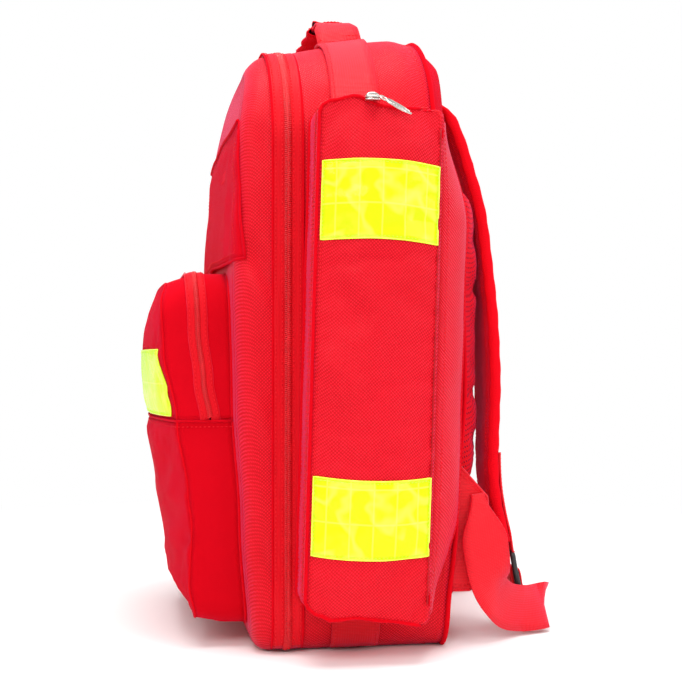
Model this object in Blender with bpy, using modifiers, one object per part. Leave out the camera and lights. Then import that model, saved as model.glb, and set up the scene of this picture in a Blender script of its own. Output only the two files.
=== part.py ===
"""Trauma backpack: a clamshell rucksack with a zipped front lid, a front pocket, a document
flap, two full-height side pockets with reflective patches, a grab handle and a harness.

Metres, +Z up, -Y is the front (pockets), +Y the back (harness). The origin is on the flat
base, under the middle of the main compartment.
"""

import math

import bmesh
import bpy
from mathutils import Vector

# ---- driving dimensions ----
HALF_WIDTH = 0.155  # main compartment, outside
HEIGHT = 0.485  # at the main zip
TOP_SLOPE = 0.098  # rise of the top towards the back, per metre
TOP_RADIUS = 0.085
FOOT_RADIUS = 0.024
ZIP_Y = -0.069  # plane of the main zip
REAR_Y = 0.064
WALL = 0.004  # foam-lined walls
THIN_WALL = 0.0022  # pocket cloth
GAP = 0.0004  # between pieces that touch
SEAM_GAP = 0.001  # each side of a zip line
WEBBING_WIDTH = 0.038
WEBBING_THICK = 0.0016

# Face of the front lid: height, then its Y.
LID_FACE = ((0.0, -0.097), (0.30, -0.110), (0.43, -0.100), (0.50, -0.088))
LID_ROUNDING = 0.020

FRONT_POCKET_HALF_WIDTH = 0.122
FRONT_POCKET_BOTTOM = 0.018
FRONT_POCKET_TOP = 0.302
FRONT_POCKET_SPLIT = 0.180  # height where the flap folds down
FRONT_POCKET_ZIP_Y = -0.137
# Front pocket: height, Y of its corner seam, and how far its face bulges beyond that.
POCKET_FACE = (
    (0.018, -0.138, 0.002),
    (0.050, -0.142, 0.010),
    (0.110, -0.144, 0.018),
    (0.180, -0.152, 0.018),
    (0.230, -0.162, 0.010),
    (0.302, -0.163, 0.006),
)
POCKET_TOP_SLOPE = 0.35  # the top of the pocket falls towards the front
# Document flap: half its width, and the height of that above its hub.
DOCUMENT_FLAP_TOP = (0.138, 0.118)
DOCUMENT_FLAP_HEM = (0.150, 0.010)
DOCUMENT_FLAP_FLAT = 0.132  # half width of its flat middle
DOCUMENT_FLAP_OUT = 0.0056  # its inner face, in front of the hub
DOCUMENT_FLAP_THICK = 0.002

SIDE_POCKET_X = 0.158  # plane of its back wall
SIDE_POCKET_CENTRE = (-0.0102, 0.225)  # Y and Z
SIDE_POCKET_HALF_HEIGHT = 0.200
SIDE_POCKET_HALF_WIDTH = 0.047
SIDE_POCKET_DEPTH = 0.042
SIDE_POCKET_REAR_FLARE = 0.032  # the back gusset runs out to the edge of the bag
SIDE_POCKET_LEAN = math.radians(1.7)
SIDE_FLAP_RIM = 0.005
SIDE_FLAP_BULGE = 0.010
SIDE_TAPE_HEIGHTS = {"upper": 0.1216, "lower": -0.1153}
SIDE_TAPE_FROM, SIDE_TAPE_TO = -0.93, 0.93  # as shares of the half width
TAPE_HEIGHT = 0.056
TAPE_THICK = 0.0006

LOAD_WEBBING_Y = -0.012
ARC_STEPS = 6

BACK_PAD_THICK = 0.023
LUMBAR_PAD_THICK = 0.027
DIVIDER_HEIGHTS = {"lower": 0.160, "upper": 0.315}
INSTRUMENT_LOOPS = 7
INSTRUMENT_LOOP_DEPTH = 0.012

SLIDER_LENGTH = 0.012
SLIDER_WIDTH = 0.009
SLIDER_HEIGHT = 0.0045
SLIDER_ROUNDING = 0.0012
TAB_LENGTH = 0.034
SHORT_TAB_LENGTH = 0.026  # on the side pockets
MAIN_SLIDER_HEIGHTS = {"upper": 0.312, "lower": 0.250}
FRONT_SLIDER_X = -0.040
SIDE_SLIDER_X = -0.012

STRAP_THICK = 0.012
# Right shoulder strap, from the shoulder down: centreline, width, and by how many degrees
# its face turns outwards.
STRAP_ROUTE = (
    ((0.058, 0.079, 0.433), 0.062, 0),
    ((0.062, 0.092, 0.398), 0.064, 4),
    ((0.068, 0.106, 0.350), 0.064, 4),
    ((0.076, 0.112, 0.270), 0.062, 2),
    ((0.084, 0.113, 0.200), 0.058, 2),
    ((0.091, 0.110, 0.140), 0.052, 4),
    ((0.094, 0.112, 0.105), 0.047, 4),
    ((0.096, 0.1175, 0.076), 0.044, 0),
)
STRAP_ANCHOR = ((0.026, 0.4405), (0.090, 0.4600))  # X and Z of two corners, on the right
STRAP_ANCHOR_THICK = 0.0070
# Each ladder lock hangs from its top bar, at this point on the right side.
LADDER_LOCK_AT = (0.0900, 0.1255, 0.0665)
LADDER_LOCK_TILT = math.radians(12)
# Right lower webbing, from the seam to the floor and back to the buckle: a point on its
# centreline and the direction across it. The strap carries what comes after the fifth point.
WEBBING_SPLIT = 5
WEBBING_ROUTE = (
    ((0.1485, 0.0830, 0.1240), (0, 1.0, 0.25)),
    ((0.1492, 0.0885, 0.1000), (0, 1.0, 0.15)),
    ((0.1490, 0.0935, 0.0700), (0, 1.0, 0.25)),
    ((0.1430, 0.1010, 0.0410), (0, 0.8, 0.75)),
    ((0.1300, 0.1160, 0.0265), (0, 0.3, 1.0)),
    ((0.1180, 0.1340, 0.0225), (0, 0, 1.0)),
    ((0.1100, 0.1490, 0.0220), (0, 0, 1.0)),
    ((0.1030, 0.1565, 0.0220), (0, 0, 1.0)),
    ((0.0960, 0.1550, 0.0220), (0, 0, 1.0)),
    ((0.0900, 0.1490, 0.0220), (0, 0, 1.0)),
)

HANDLE_HALF_SPAN = 0.074
HANDLE_RISE = 0.0155  # of the grip above the foot of its legs
HANDLE_FOOT_Z = 0.4995
GRIP_HALF_LENGTH = 0.045

RED = (0.72, 0.012, 0.022, 1)
DARK_RED = (0.45, 0.008, 0.015, 1)
YELLOW = (0.75, 1.0, 0.02, 1)
BLACK = (0.012, 0.012, 0.014, 1)
STEEL = (0.74, 0.72, 0.68, 1)


# ---- scene ----
def clear_scene():
    for old in list(bpy.data.objects):
        bpy.data.objects.remove(old)


def new_collection(name):
    made = bpy.data.collections.new(name)
    bpy.context.scene.collection.children.link(made)
    return made


clear_scene()
PART = new_collection("trauma_backpack")
CUTTERS = new_collection("cutters")


def material(name, colour, roughness, metallic=0.0):
    made = bpy.data.materials.new(name)
    made.use_nodes = True
    shader = made.node_tree.nodes["Principled BSDF"]
    shader.inputs["Base Color"].default_value = colour
    shader.inputs["Roughness"].default_value = roughness
    shader.inputs["Metallic"].default_value = metallic
    return made


HONEYCOMB = material("honeycomb_fabric", RED, 0.55)
OXFORD = material("oxford_fabric", RED, 0.6)
WEBBING = material("red_webbing", RED, 0.5)
LINING = material("lining_fabric", DARK_RED, 0.7)
PADDING = material("padding_fabric", RED, 0.7)
REFLECTIVE = material("reflective_tape", YELLOW, 0.2)
ZIP = material("zip_tape", DARK_RED, 0.5)
METAL = material("zip_metal", STEEL, 0.3, 1.0)
PLASTIC = material("black_plastic", BLACK, 0.45)
GRIP = material("grip_fabric", BLACK, 0.8)
BOARD = material("stiffener_board", (0.05, 0.05, 0.055, 1), 0.6)


def empty(name, location=(0, 0, 0), rotation=(0, 0, 0), parent=None):
    made = bpy.data.objects.new(name, None)
    PART.objects.link(made)
    made.parent = parent
    made.location = location
    made.rotation_euler = rotation
    return made


def place(name, data, finish, location=(0, 0, 0), rotation=(0, 0, 0), parent=None):
    made = bpy.data.objects.new(name, data)
    PART.objects.link(made)
    made.parent = parent
    made.location = location
    made.rotation_euler = rotation
    if finish.name not in data.materials:
        data.materials.append(finish)
    return made


def thicken(obj, thickness, offset=-1.0):
    modifier = obj.modifiers.new("wall", "SOLIDIFY")
    modifier.thickness = thickness
    modifier.offset = offset
    modifier.use_even_offset = True
    return obj


def round_edges(obj, radius, segments=2):
    modifier = obj.modifiers.new("rounding", "BEVEL")
    modifier.width = radius
    modifier.segments = segments
    modifier.limit_method = "ANGLE"
    return obj


def cut(obj, cutter, operation="DIFFERENCE"):
    modifier = obj.modifiers.new(operation.lower(), "BOOLEAN")
    modifier.operation = operation
    modifier.object = cutter
    return obj


# ---- mesh tools ----
def finished_mesh(name, work, outward=None):
    """The bmesh as a mesh; outward is a direction that the open surface's first face looks along."""
    bmesh.ops.recalc_face_normals(work, faces=work.faces)
    work.faces.ensure_lookup_table()
    if outward is not None and work.faces[0].normal.dot(Vector(outward)) < 0:
        bmesh.ops.reverse_faces(work, faces=work.faces)
    mesh = bpy.data.meshes.new(name)
    work.to_mesh(mesh)
    work.free()
    return mesh


def box_mesh(name, size):
    work = bmesh.new()
    bmesh.ops.create_cube(work, size=1.0)
    bmesh.ops.scale(work, vec=size, verts=work.verts)
    return finished_mesh(name, work)


def block(name, low, high, finish, radius=0.0, parent=None):
    low, high = Vector(low), Vector(high)
    made = place(name, box_mesh(name, high - low), finish, (low + high) / 2, parent=parent)
    return round_edges(made, radius) if radius else made


def cutter_box(name, low, high, parent=None):
    low, high = Vector(low), Vector(high)
    made = bpy.data.objects.new(name, box_mesh(name, high - low))
    CUTTERS.objects.link(made)
    made.parent = parent
    made.location = (low + high) / 2
    made.hide_render = True
    made.display_type = "WIRE"
    return made


def arc(centre, radius, start, end, steps):
    """Points of an arc, angles in degrees from +X towards +Z."""
    angles = [math.radians(start + (end - start) * i / steps) for i in range(steps + 1)]
    return [(centre[0] + radius * math.cos(a), centre[1] + radius * math.sin(a)) for a in angles]


def half_outline(half_width, bottom, top, foot_radius, top_radius, levels=(), steps=ARC_STEPS):
    """Right side of an arch, from the base upwards, with a point at each of the levels."""
    foot = arc((half_width - foot_radius, bottom + foot_radius), foot_radius, -90, 0, 3)
    crown = arc((half_width - top_radius, top - top_radius), top_radius, 0, 90, steps)
    between = [(half_width, z) for z in levels if foot[-1][1] < z < crown[0][1]]
    return foot + between + crown


def shell_mesh(name, outline, columns, cap, rings, outward):
    """An open shell: a cap, a grid of outline levels by columns, and a wall through the rings.

    cap(u, x, z) and each ring(x, z) give a point; u runs from -1 to 1 across a level.
    """
    work = bmesh.new()
    grid = [[work.verts.new(cap(u, u * x, z)) for u in columns] for x, z in outline]
    for lower, upper in zip(grid, grid[1:]):
        for j in range(len(columns) - 1):
            work.faces.new((lower[j], lower[j + 1], upper[j + 1], upper[j]))
    last = len(columns) - 1
    edge = [(0, j) for j in range(last)]
    edge += [(i, last) for i in range(len(outline) - 1)]
    edge += [(len(outline) - 1, last - j) for j in range(last)]
    edge += [(len(outline) - 1 - i, 0) for i in range(len(outline) - 1)]
    loop = [grid[i][j] for i, j in edge]
    flat = [(columns[j] * outline[i][0], outline[i][1]) for i, j in edge]
    for ring in rings:
        following = [work.verts.new(ring(x, z)) for x, z in flat]
        for k in range(len(loop)):
            n = (k + 1) % len(loop)
            work.faces.new((loop[k], loop[n], following[n], following[k]))
        loop = following
    return finished_mesh(name, work, outward)


def patch_mesh(name, rows, outward):
    """A sheet through rows of points."""
    work = bmesh.new()
    grid = [[work.verts.new(p) for p in row] for row in rows]
    for lower, upper in zip(grid, grid[1:]):
        for j in range(len(lower) - 1):
            work.faces.new((lower[j], lower[j + 1], upper[j + 1], upper[j]))
    return finished_mesh(name, work, outward)


def between(knots, at):
    """Linear reading of a table whose first column is the position."""
    for low, high in zip(knots, knots[1:]):
        if at <= high[0]:
            share = max(0.0, (at - low[0]) / (high[0] - low[0]))
            return [a + (b - a) * share for a, b in zip(low[1:], high[1:])]
    return list(knots[-1][1:])


def smooth(points, steps):
    """A Catmull-Rom curve through the points."""
    points = [Vector(p) for p in points]
    ends = [2 * points[0] - points[1], *points, 2 * points[-1] - points[-2]]
    made = []
    for a, b, c, d in zip(ends, ends[1:], ends[2:], ends[3:]):
        for i in range(steps):
            t = i / steps
            made.append(
                0.5 * (2 * b + (c - a) * t + (2 * a - 5 * b + 4 * c - d) * t**2
                       + (3 * b - a - 3 * c + d) * t**3)
            )
    return made + [points[-1]]


def inset(x, z, by, half_width, middle, half_height):
    """A point of an outline moved in towards the middle by about that much."""
    return x * (1 - by / half_width), middle + (z - middle) * (1 - by / half_height)


# ---- main compartment ----
def lifted(x, y, z):
    """The bag's top rises towards the back, and its base stays flat."""
    return x, y, z * (1 + TOP_SLOPE * (y - ZIP_Y) / HEIGHT)


def lid_face_y(z):
    return between(LID_FACE, z)[0]


LID_LEVELS = (0.08, 0.16, 0.24, 0.30, 0.35)


def main_outline(grow=0.0):
    """Outside of the main compartment, or that much further out."""
    return half_outline(
        HALF_WIDTH + grow, -grow, HEIGHT + grow, FOOT_RADIUS + grow, TOP_RADIUS + grow, LID_LEVELS
    )


def inset_main(x, z, by):
    return inset(x, z, by, HALF_WIDTH, HEIGHT / 2, HEIGHT / 2)


def rear_compartment():
    rounding = 0.010

    def cap(_, x, z):
        x, z = inset_main(x, z, rounding)
        return lifted(x, REAR_Y, z)

    rings = [
        lambda x, z: lifted(x, REAR_Y - rounding, z),
        lambda x, z: lifted(x, ZIP_Y + SEAM_GAP, z),
    ]
    mesh = shell_mesh("rear_compartment", main_outline(), (-1, 1), cap, rings, (0, 1, 0))
    return thicken(place("rear_compartment", mesh, HONEYCOMB), WALL)


def front_lid():
    shoulder_step = 0.006
    least_side = 0.004

    def cap(_, x, z):
        x, z = inset_main(x, z, LID_ROUNDING)
        return lifted(x, lid_face_y(z), z)

    def shoulder(x, z):
        x, z = inset_main(x, z, shoulder_step)
        return lifted(x, lid_face_y(z) + shoulder_step, z)

    def side(x, z):
        depth = min(lid_face_y(z) + LID_ROUNDING, ZIP_Y - SEAM_GAP - least_side)
        return lifted(x, depth, z)

    rings = [shoulder, side, lambda x, z: lifted(x, ZIP_Y - SEAM_GAP, z)]
    mesh = shell_mesh("front_lid", main_outline(), (-1, 1), cap, rings, (0, -1, 0))
    return thicken(place("front_lid", mesh, HONEYCOMB), WALL)


def side_line():
    """The right side of the bag from the foot's curve upwards, so that the base stays clear."""
    return main_outline(GAP)[2:]


def main_zip():
    width = 0.009
    right = side_line()
    line = right + [(-x, z) for x, z in reversed(right)]
    behind, before = ZIP_Y + SEAM_GAP, ZIP_Y - SEAM_GAP
    for half, low, high in (("rear", behind, behind + width), ("front", before - width, before)):
        rows = [[lifted(x, y, z) for x, z in line] for y in (low, high)]
        band = place(f"main_zip_{half}", patch_mesh("main_zip", rows, (1, 0, 0)), ZIP)
        thicken(band, WEBBING_THICK, offset=1.0)


def load_webbing(side, hub):
    """Webbing that runs from the foot of the bag, behind the side pocket, up to the handle."""
    low, high = LOAD_WEBBING_Y - WEBBING_WIDTH / 2, LOAD_WEBBING_Y + WEBBING_WIDTH / 2
    rows = [[lifted(x, y, z) for x, z in side_line()] for y in (low, high)]
    mesh = patch_mesh("load_webbing", rows, (1, 0, 0))
    thicken(place(f"load_webbing_{side}", mesh, WEBBING, parent=hub), WEBBING_THICK, offset=1.0)


def stiffeners():
    """A board behind the lining of the back and another on the base."""
    thick = 0.002
    back = REAR_Y - WALL - 0.001
    base = WALL + 0.0015
    block("back_board", (-0.135, back - thick, 0.020), (0.135, back, 0.430), BOARD)
    front, rear = ZIP_Y + 0.012, back - 0.008
    block("base_board", (-0.125, front, base), (0.125, rear, base + thick), BOARD)


def dividers():
    half = HALF_WIDTH - WALL - 0.002
    front, rear = ZIP_Y + 0.010, REAR_Y - WALL - 0.005
    thick = 0.006
    for name, z in DIVIDER_HEIGHTS.items():
        block(f"divider_{name}", (-half, front, z), (half, rear, z + thick), LINING, 0.002)


def instrument_loops():
    """An elastic band along the back wall, sewn down between its loops."""
    span = 0.24
    low, high = 0.225, 0.263
    flat_y = REAR_Y - WALL - 0.006
    steps = INSTRUMENT_LOOPS * 4
    points = []
    for i in range(steps + 1):
        share = i / steps
        lift = abs(math.sin(math.pi * share * INSTRUMENT_LOOPS))
        points.append((span * (share - 0.5), flat_y - INSTRUMENT_LOOP_DEPTH * lift))
    rows = [[(x, y, z) for x, y in points] for z in (low, high)]
    mesh = patch_mesh("instrument_loops", rows, (0, -1, 0))
    thicken(place("instrument_loops", mesh, WEBBING), 0.0012)


def lid_mesh_pocket():
    """A flat pouch on the inside of the lid."""
    low, step, half = 0.10, 0.05, 0.120
    rows = []
    for z in (low + step * i for i in range(5)):
        y = lid_face_y(z) + WALL + 0.003
        rows.append([(-half, y, z), (half, y, z)])
    mesh = patch_mesh("lid_mesh_pocket", rows, (0, 1, 0))
    thicken(place("lid_mesh_pocket", mesh, LINING), 0.0015, offset=1.0)


def back_padding():
    """Two long pads with an air channel between them, and a lumbar pad below."""
    near = REAR_Y + GAP
    outer, channel = 0.122, 0.010
    rounding = 0.009
    for side, sign in (("right", 1), ("left", -1)):
        left, right = sorted((sign * channel, sign * outer))
        low, high = (left, near, 0.118), (right, near + BACK_PAD_THICK, 0.372)
        block(f"back_pad_{side}", low, high, PADDING, rounding)
    low, high = (-outer, near, 0.028), (outer, near + LUMBAR_PAD_THICK, 0.112)
    block("lumbar_pad", low, high, PADDING, rounding)


# ---- front pocket ----
def pocket_level(x, y, z):
    """The top of the front pocket falls towards the front and its base rises a little."""
    share = (z - FRONT_POCKET_BOTTOM) / (FRONT_POCKET_TOP - FRONT_POCKET_BOTTOM)
    fall = POCKET_TOP_SLOPE * max(0.0, FRONT_POCKET_ZIP_Y - y) * max(0.0, share - 0.75) / 0.25
    rise = 0.25 * max(0.0, FRONT_POCKET_ZIP_Y + 0.02 - y) * max(0.0, 0.12 - share) / 0.12
    return x, y, z - fall + rise


def pocket_point(u, x, z, out=0.0):
    corner, bulge = between(POCKET_FACE, z)
    return pocket_level(x, corner - bulge * (1 - u * u) - out, z)


POCKET_COLUMNS = (-1, -0.72, -0.35, 0, 0.35, 0.72, 1)
TAPE_LOW = FRONT_POCKET_SPLIT + 0.003
TAPE_HIGH = TAPE_LOW + 0.053


def pocket_outline():
    levels = (0.05, 0.08, 0.11, 0.145, 0.180, TAPE_LOW, TAPE_HIGH, 0.26)
    return half_outline(
        FRONT_POCKET_HALF_WIDTH, FRONT_POCKET_BOTTOM, FRONT_POCKET_TOP, 0.014, 0.030, levels, 4
    )


def full_front_pocket(name):
    rounding = 0.004
    middle = (FRONT_POCKET_TOP + FRONT_POCKET_BOTTOM) / 2
    half_height = (FRONT_POCKET_TOP - FRONT_POCKET_BOTTOM) / 2

    def cap(u, x, z):
        x, z = inset(x, z, 0.75 * rounding, FRONT_POCKET_HALF_WIDTH, middle, half_height)
        return pocket_point(u, x, z)

    rings = [
        lambda x, z: pocket_level(x, between(POCKET_FACE, z)[0] + rounding, z),
        lambda x, z: (x, FRONT_POCKET_ZIP_Y, z),
        lambda x, z: (x, lid_face_y(z) - 0.0012, z),
    ]
    mesh = shell_mesh(name, pocket_outline(), POCKET_COLUMNS, cap, rings, (0, -1, 0))
    return thicken(place(name, mesh, OXFORD), THIN_WALL)


def front_pocket():
    """The whole pocket, divided along its zip into the part on the lid and the flap."""
    x, front, top = 0.2, -0.25, 0.4  # beyond the pocket
    gap = 0.0005
    low, high = (-x, front, FRONT_POCKET_SPLIT - gap), (x, FRONT_POCKET_ZIP_Y + gap, top)
    cut(full_front_pocket("front_pocket"), cutter_box("flap_space", low, high))
    low, high = (-x, front, FRONT_POCKET_SPLIT + gap), (x, FRONT_POCKET_ZIP_Y - gap, top)
    cut(full_front_pocket("front_pocket_flap"), cutter_box("flap_shape", low, high), "INTERSECT")

    half = FRONT_POCKET_HALF_WIDTH * 0.955
    edge = 0.001
    out = 0.0014
    rows = []
    for z in (TAPE_LOW + edge, TAPE_HIGH - edge):
        rows.append([pocket_point(u, u * half, z, out) for u in POCKET_COLUMNS])
    mesh = patch_mesh("front_tape", rows, (0, -1, 0))
    thicken(place("front_tape", mesh, REFLECTIVE), TAPE_THICK, offset=1.0)


def corner_fall(x):
    """How far back the rounded side corner of the lid lies from its face."""
    past = max(0.0, abs(x) - (HALF_WIDTH - LID_ROUNDING))
    return LID_ROUNDING - math.sqrt(LID_ROUNDING**2 - past**2)


def document_pocket():
    """A flat sleeve on the upper face of the lid, and the flap that covers it and its corners."""
    (z_low, y_low), (z_high, y_high) = LID_FACE[1], LID_FACE[2]
    lean = math.atan2(y_high - y_low, z_high - z_low)
    hub = empty("document_hub", (0, y_low, z_low), (-lean, 0, 0))
    sleeve = block(
        "document_sleeve", (-0.105, -0.0050, 0.016), (0.105, -0.0012, 0.088), OXFORD, parent=hub
    )
    space = cutter_box("sleeve_space", (-0.1035, -0.0038, 0.0175), (0.1035, 0.01, 0.1), hub)
    cut(sleeve, space)
    rows = []
    for half, z in (DOCUMENT_FLAP_TOP, DOCUMENT_FLAP_HEM):
        right = [DOCUMENT_FLAP_FLAT, (DOCUMENT_FLAP_FLAT + half) / 2, half]
        columns = [-x for x in reversed(right)] + [0.0] + right
        rows.append([(x, corner_fall(x) - DOCUMENT_FLAP_OUT, z) for x in columns])
    mesh = patch_mesh("document_flap", rows, (0, -1, 0))
    flap = place("document_flap", mesh, OXFORD, parent=hub)
    thicken(flap, DOCUMENT_FLAP_THICK, offset=1.0)


# ---- side pockets ----
def side_face(u):
    """How far out the pocket's face stands, for u from -1 at its front edge to 1 at the rear."""
    return SIDE_POCKET_DEPTH + GAP + SIDE_FLAP_RIM + SIDE_FLAP_BULGE * (1 - u * u)


def side_outline(grow=0.0):
    half, tall = SIDE_POCKET_HALF_WIDTH + grow, SIDE_POCKET_HALF_HEIGHT + grow
    return half_outline(half, -tall, tall, 0.010 + grow, 0.010 + grow, steps=3)


def side_pocket(side, hub):
    """Local frame: X runs back along the bag, -Y outwards."""
    y, z = SIDE_POCKET_CENTRE
    frame = empty(f"side_pocket_hub_{side}", (SIDE_POCKET_X, y, z), parent=hub)
    frame.rotation_mode = "XYZ"
    frame.rotation_euler = (-SIDE_POCKET_LEAN, 0, 0)
    turned = empty(f"side_pocket_frame_{side}", rotation=(0, 0, math.pi / 2), parent=frame)

    def cap(_, x, z):
        return (x + (SIDE_POCKET_REAR_FLARE if x > 0 else 0), 0, z)

    rings = [lambda x, z: (x, -SIDE_POCKET_DEPTH, z)]
    mesh = shell_mesh("side_pocket", side_outline(), (-1, 1), cap, rings, (0, 1, 0))
    thicken(place(f"side_pocket_{side}", mesh, HONEYCOMB, parent=turned), THIN_WALL)

    columns = [u / 4 for u in range(-4, 5)]

    def face(u, x, z):
        return x * 0.97, -side_face(u), z * 0.992

    rings = [
        lambda x, z: (x, -side_face(x / SIDE_POCKET_HALF_WIDTH) + 0.0015, z),
        lambda x, z: (x, -SIDE_POCKET_DEPTH - GAP, z),
    ]
    mesh = shell_mesh("side_flap", side_outline(), columns, face, rings, (0, -1, 0))
    thicken(place(f"side_flap_{side}", mesh, HONEYCOMB, parent=turned), THIN_WALL)

    for name, middle in SIDE_TAPE_HEIGHTS.items():
        heights = (middle - TAPE_HEIGHT / 2, middle + TAPE_HEIGHT / 2)
        across = [SIDE_TAPE_FROM + (SIDE_TAPE_TO - SIDE_TAPE_FROM) * i / 8 for i in range(9)]
        rows = [
            [(u * SIDE_POCKET_HALF_WIDTH, -side_face(u) - GAP, z) for u in across]
            for z in heights
        ]
        mesh = patch_mesh(name, rows, (0, -1, 0))
        piece = place(f"side_tape_{name}_{side}", mesh, REFLECTIVE, parent=turned)
        thicken(piece, TAPE_THICK, offset=1.0)
    out, clear = 0.009, 0.0005
    at = Vector((SIDE_SLIDER_X, -SIDE_POCKET_DEPTH - out, SIDE_POCKET_HALF_HEIGHT + clear))
    low = at + Vector((-SLIDER_LENGTH / 2, -SLIDER_WIDTH / 2, 0))
    high = at + Vector((SLIDER_LENGTH / 2, SLIDER_WIDTH / 2, SLIDER_HEIGHT))
    block(f"side_slider_{side}", low, high, METAL, SLIDER_ROUNDING, parent=turned)
    hangs_from = at + Vector((0.0075, -0.0078, 0.002))
    hang = (math.pi / 2, math.radians(26), 0)
    place(f"side_pull_{side}", pull_tab("side_pull", SHORT_TAB_LENGTH), METAL, hangs_from, hang, turned)


# ---- zip sliders ----
def pull_tab(name, length):
    """A flat tapered tab with an eye. It runs along local +X from its pivot, 1.2 mm thick."""
    curve = bpy.data.curves.new(name, "CURVE")
    curve.dimensions = "2D"
    curve.fill_mode = "BOTH"
    curve.extrude = 0.0006
    outline = (
        (-0.0008, -0.0030), (0.006, -0.0036), (length - 0.010, -0.0042), (length, -0.0012),
        (length, 0.0012), (length - 0.010, 0.0042), (0.006, 0.0036), (-0.0008, 0.0030),
    )
    eye = ((0.0012, -0.0016), (0.0012, 0.0016), (0.0050, 0.0016), (0.0050, -0.0016))
    for points in (outline, eye):
        spline = curve.splines.new("POLY")
        spline.points.add(len(points) - 1)
        for point, (x, y) in zip(spline.points, points):
            point.co = (x, y, 0, 1)
        spline.use_cyclic_u = True
    return curve


def main_sliders():
    """Two sliders meet on the left side of the bag, each with a hanging tab."""
    face = -(HALF_WIDTH + GAP + WEBBING_THICK + GAP)
    tab = pull_tab("main_pull", TAB_LENGTH)
    half = 0.0055  # of a heavier slider than the pockets have
    for name, z in MAIN_SLIDER_HEIGHTS.items():
        low = (face - SLIDER_HEIGHT, ZIP_Y - half, z - SLIDER_LENGTH / 2)
        high = (face, ZIP_Y + half, z + SLIDER_LENGTH / 2)
        block(f"main_slider_{name}", low, high, METAL, SLIDER_ROUNDING)
        hangs_from = (face - SLIDER_HEIGHT - 0.0015, ZIP_Y, z - 0.0005)
        hang = (math.pi / 2, math.pi / 2, math.pi / 2)
        place(f"main_pull_{name}", tab, METAL, hangs_from, hang)


def front_slider():
    """The front pocket's slider sits on the top run of its zip."""
    x, y = FRONT_SLIDER_X, FRONT_POCKET_ZIP_Y
    base = FRONT_POCKET_TOP + 0.0006
    low = (x - SLIDER_LENGTH / 2, y - SLIDER_WIDTH / 2, base)
    high = (x + SLIDER_LENGTH / 2, y + SLIDER_WIDTH / 2, base + SLIDER_HEIGHT)
    block("front_slider", low, high, METAL, SLIDER_ROUNDING)
    rests_at = (x - 0.0015, y, base + SLIDER_HEIGHT + 0.0017)
    tab = pull_tab("front_pull", 0.030)
    place("front_pull", tab, METAL, rests_at, (0, math.radians(8), math.pi))


# ---- harness ----
def shoulder_strap(side, hub):
    steps = 2
    line = smooth([p for p, _, _ in STRAP_ROUTE], steps)
    halves = []
    for _, width, turn in STRAP_ROUTE:
        turn = math.radians(turn)
        halves.append(Vector((math.cos(turn), -math.sin(turn), 0)) * width / 2)
    halves = smooth(halves, steps)
    rows = [[p + half * s for p, half in zip(line, halves)] for s in (-1, 0, 1)]
    mesh = patch_mesh("shoulder_strap", rows, (0, 1, 0))
    strap = place(f"shoulder_strap_{side}", mesh, PADDING, parent=hub)
    thicken(strap, STRAP_THICK, offset=0.0)

    (x_low, z_low), (x_high, z_high) = STRAP_ANCHOR
    low, high = (x_low, REAR_Y + GAP, z_low), (x_high, REAR_Y + STRAP_ANCHOR_THICK, z_high)
    block(f"strap_anchor_{side}", low, high, WEBBING, parent=hub)


def ladder_lock(side, hub):
    """A three-bar buckle. It hangs from its top bar, which is at its local origin."""
    frame = empty(f"ladder_lock_hub_{side}", LADDER_LOCK_AT, (LADDER_LOCK_TILT, 0, 0), hub)
    half, thick, above, below = 0.023, 0.005, 0.002, 0.034
    low, high = (-half, -thick / 2, -below), (half, thick / 2, above)
    lock = block(f"ladder_lock_{side}", low, high, PLASTIC, parent=frame)
    slot_half, slot_height, through = 0.0195, 0.010, 0.01
    for number, top in enumerate((-0.004, -0.019)):
        low, high = (-slot_half, -through, top - slot_height), (slot_half, through, top)
        cut(lock, cutter_box(f"slot_{number}_{side}", low, high, frame))


def lower_webbing(side, hub):
    steps = 3
    half = WEBBING_WIDTH / 2
    line = smooth([p for p, _ in WEBBING_ROUTE], steps)
    across = [v.normalized() for v in smooth([a for _, a in WEBBING_ROUTE], steps)]
    split = (WEBBING_SPLIT - 1) * steps
    gap = (line[split + 1] - line[split]).normalized() * GAP
    runs = (
        ("lower_webbing", line[: split + 1], across[: split + 1]),
        ("webbing_tail", [line[split] + gap, *line[split + 1 :]], across[split:]),
    )
    for name, points, directions in runs:
        rows = [[p + a * half * s for p, a in zip(points, directions)] for s in (-1, 1)]
        piece = place(f"{name}_{side}", patch_mesh(name, rows, (1, 0, 0)), WEBBING, parent=hub)
        thicken(piece, WEBBING_THICK, offset=0.0)


def anchor_wing(side, hub):
    """A triangle of ribbed webbing, sewn into the seam at the foot of the back."""
    x = 0.1430
    curve = bpy.data.curves.new("anchor_wing", "CURVE")
    curve.dimensions = "2D"
    curve.fill_mode = "BOTH"
    curve.extrude = 0.001
    near = REAR_Y + GAP
    outline = (
        (near, 0.044), (0.080, 0.044), (0.083, 0.060), (0.094, 0.118), (near, 0.150),
    )
    spline = curve.splines.new("POLY")
    spline.points.add(len(outline) - 1)
    for point, (y, z) in zip(spline.points, outline):
        point.co = (y, z, 0, 1)
    spline.use_cyclic_u = True
    upright = (math.pi / 2, 0, math.pi / 2)
    place(f"anchor_wing_{side}", curve, WEBBING, (x, 0, 0), upright, hub)


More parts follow.
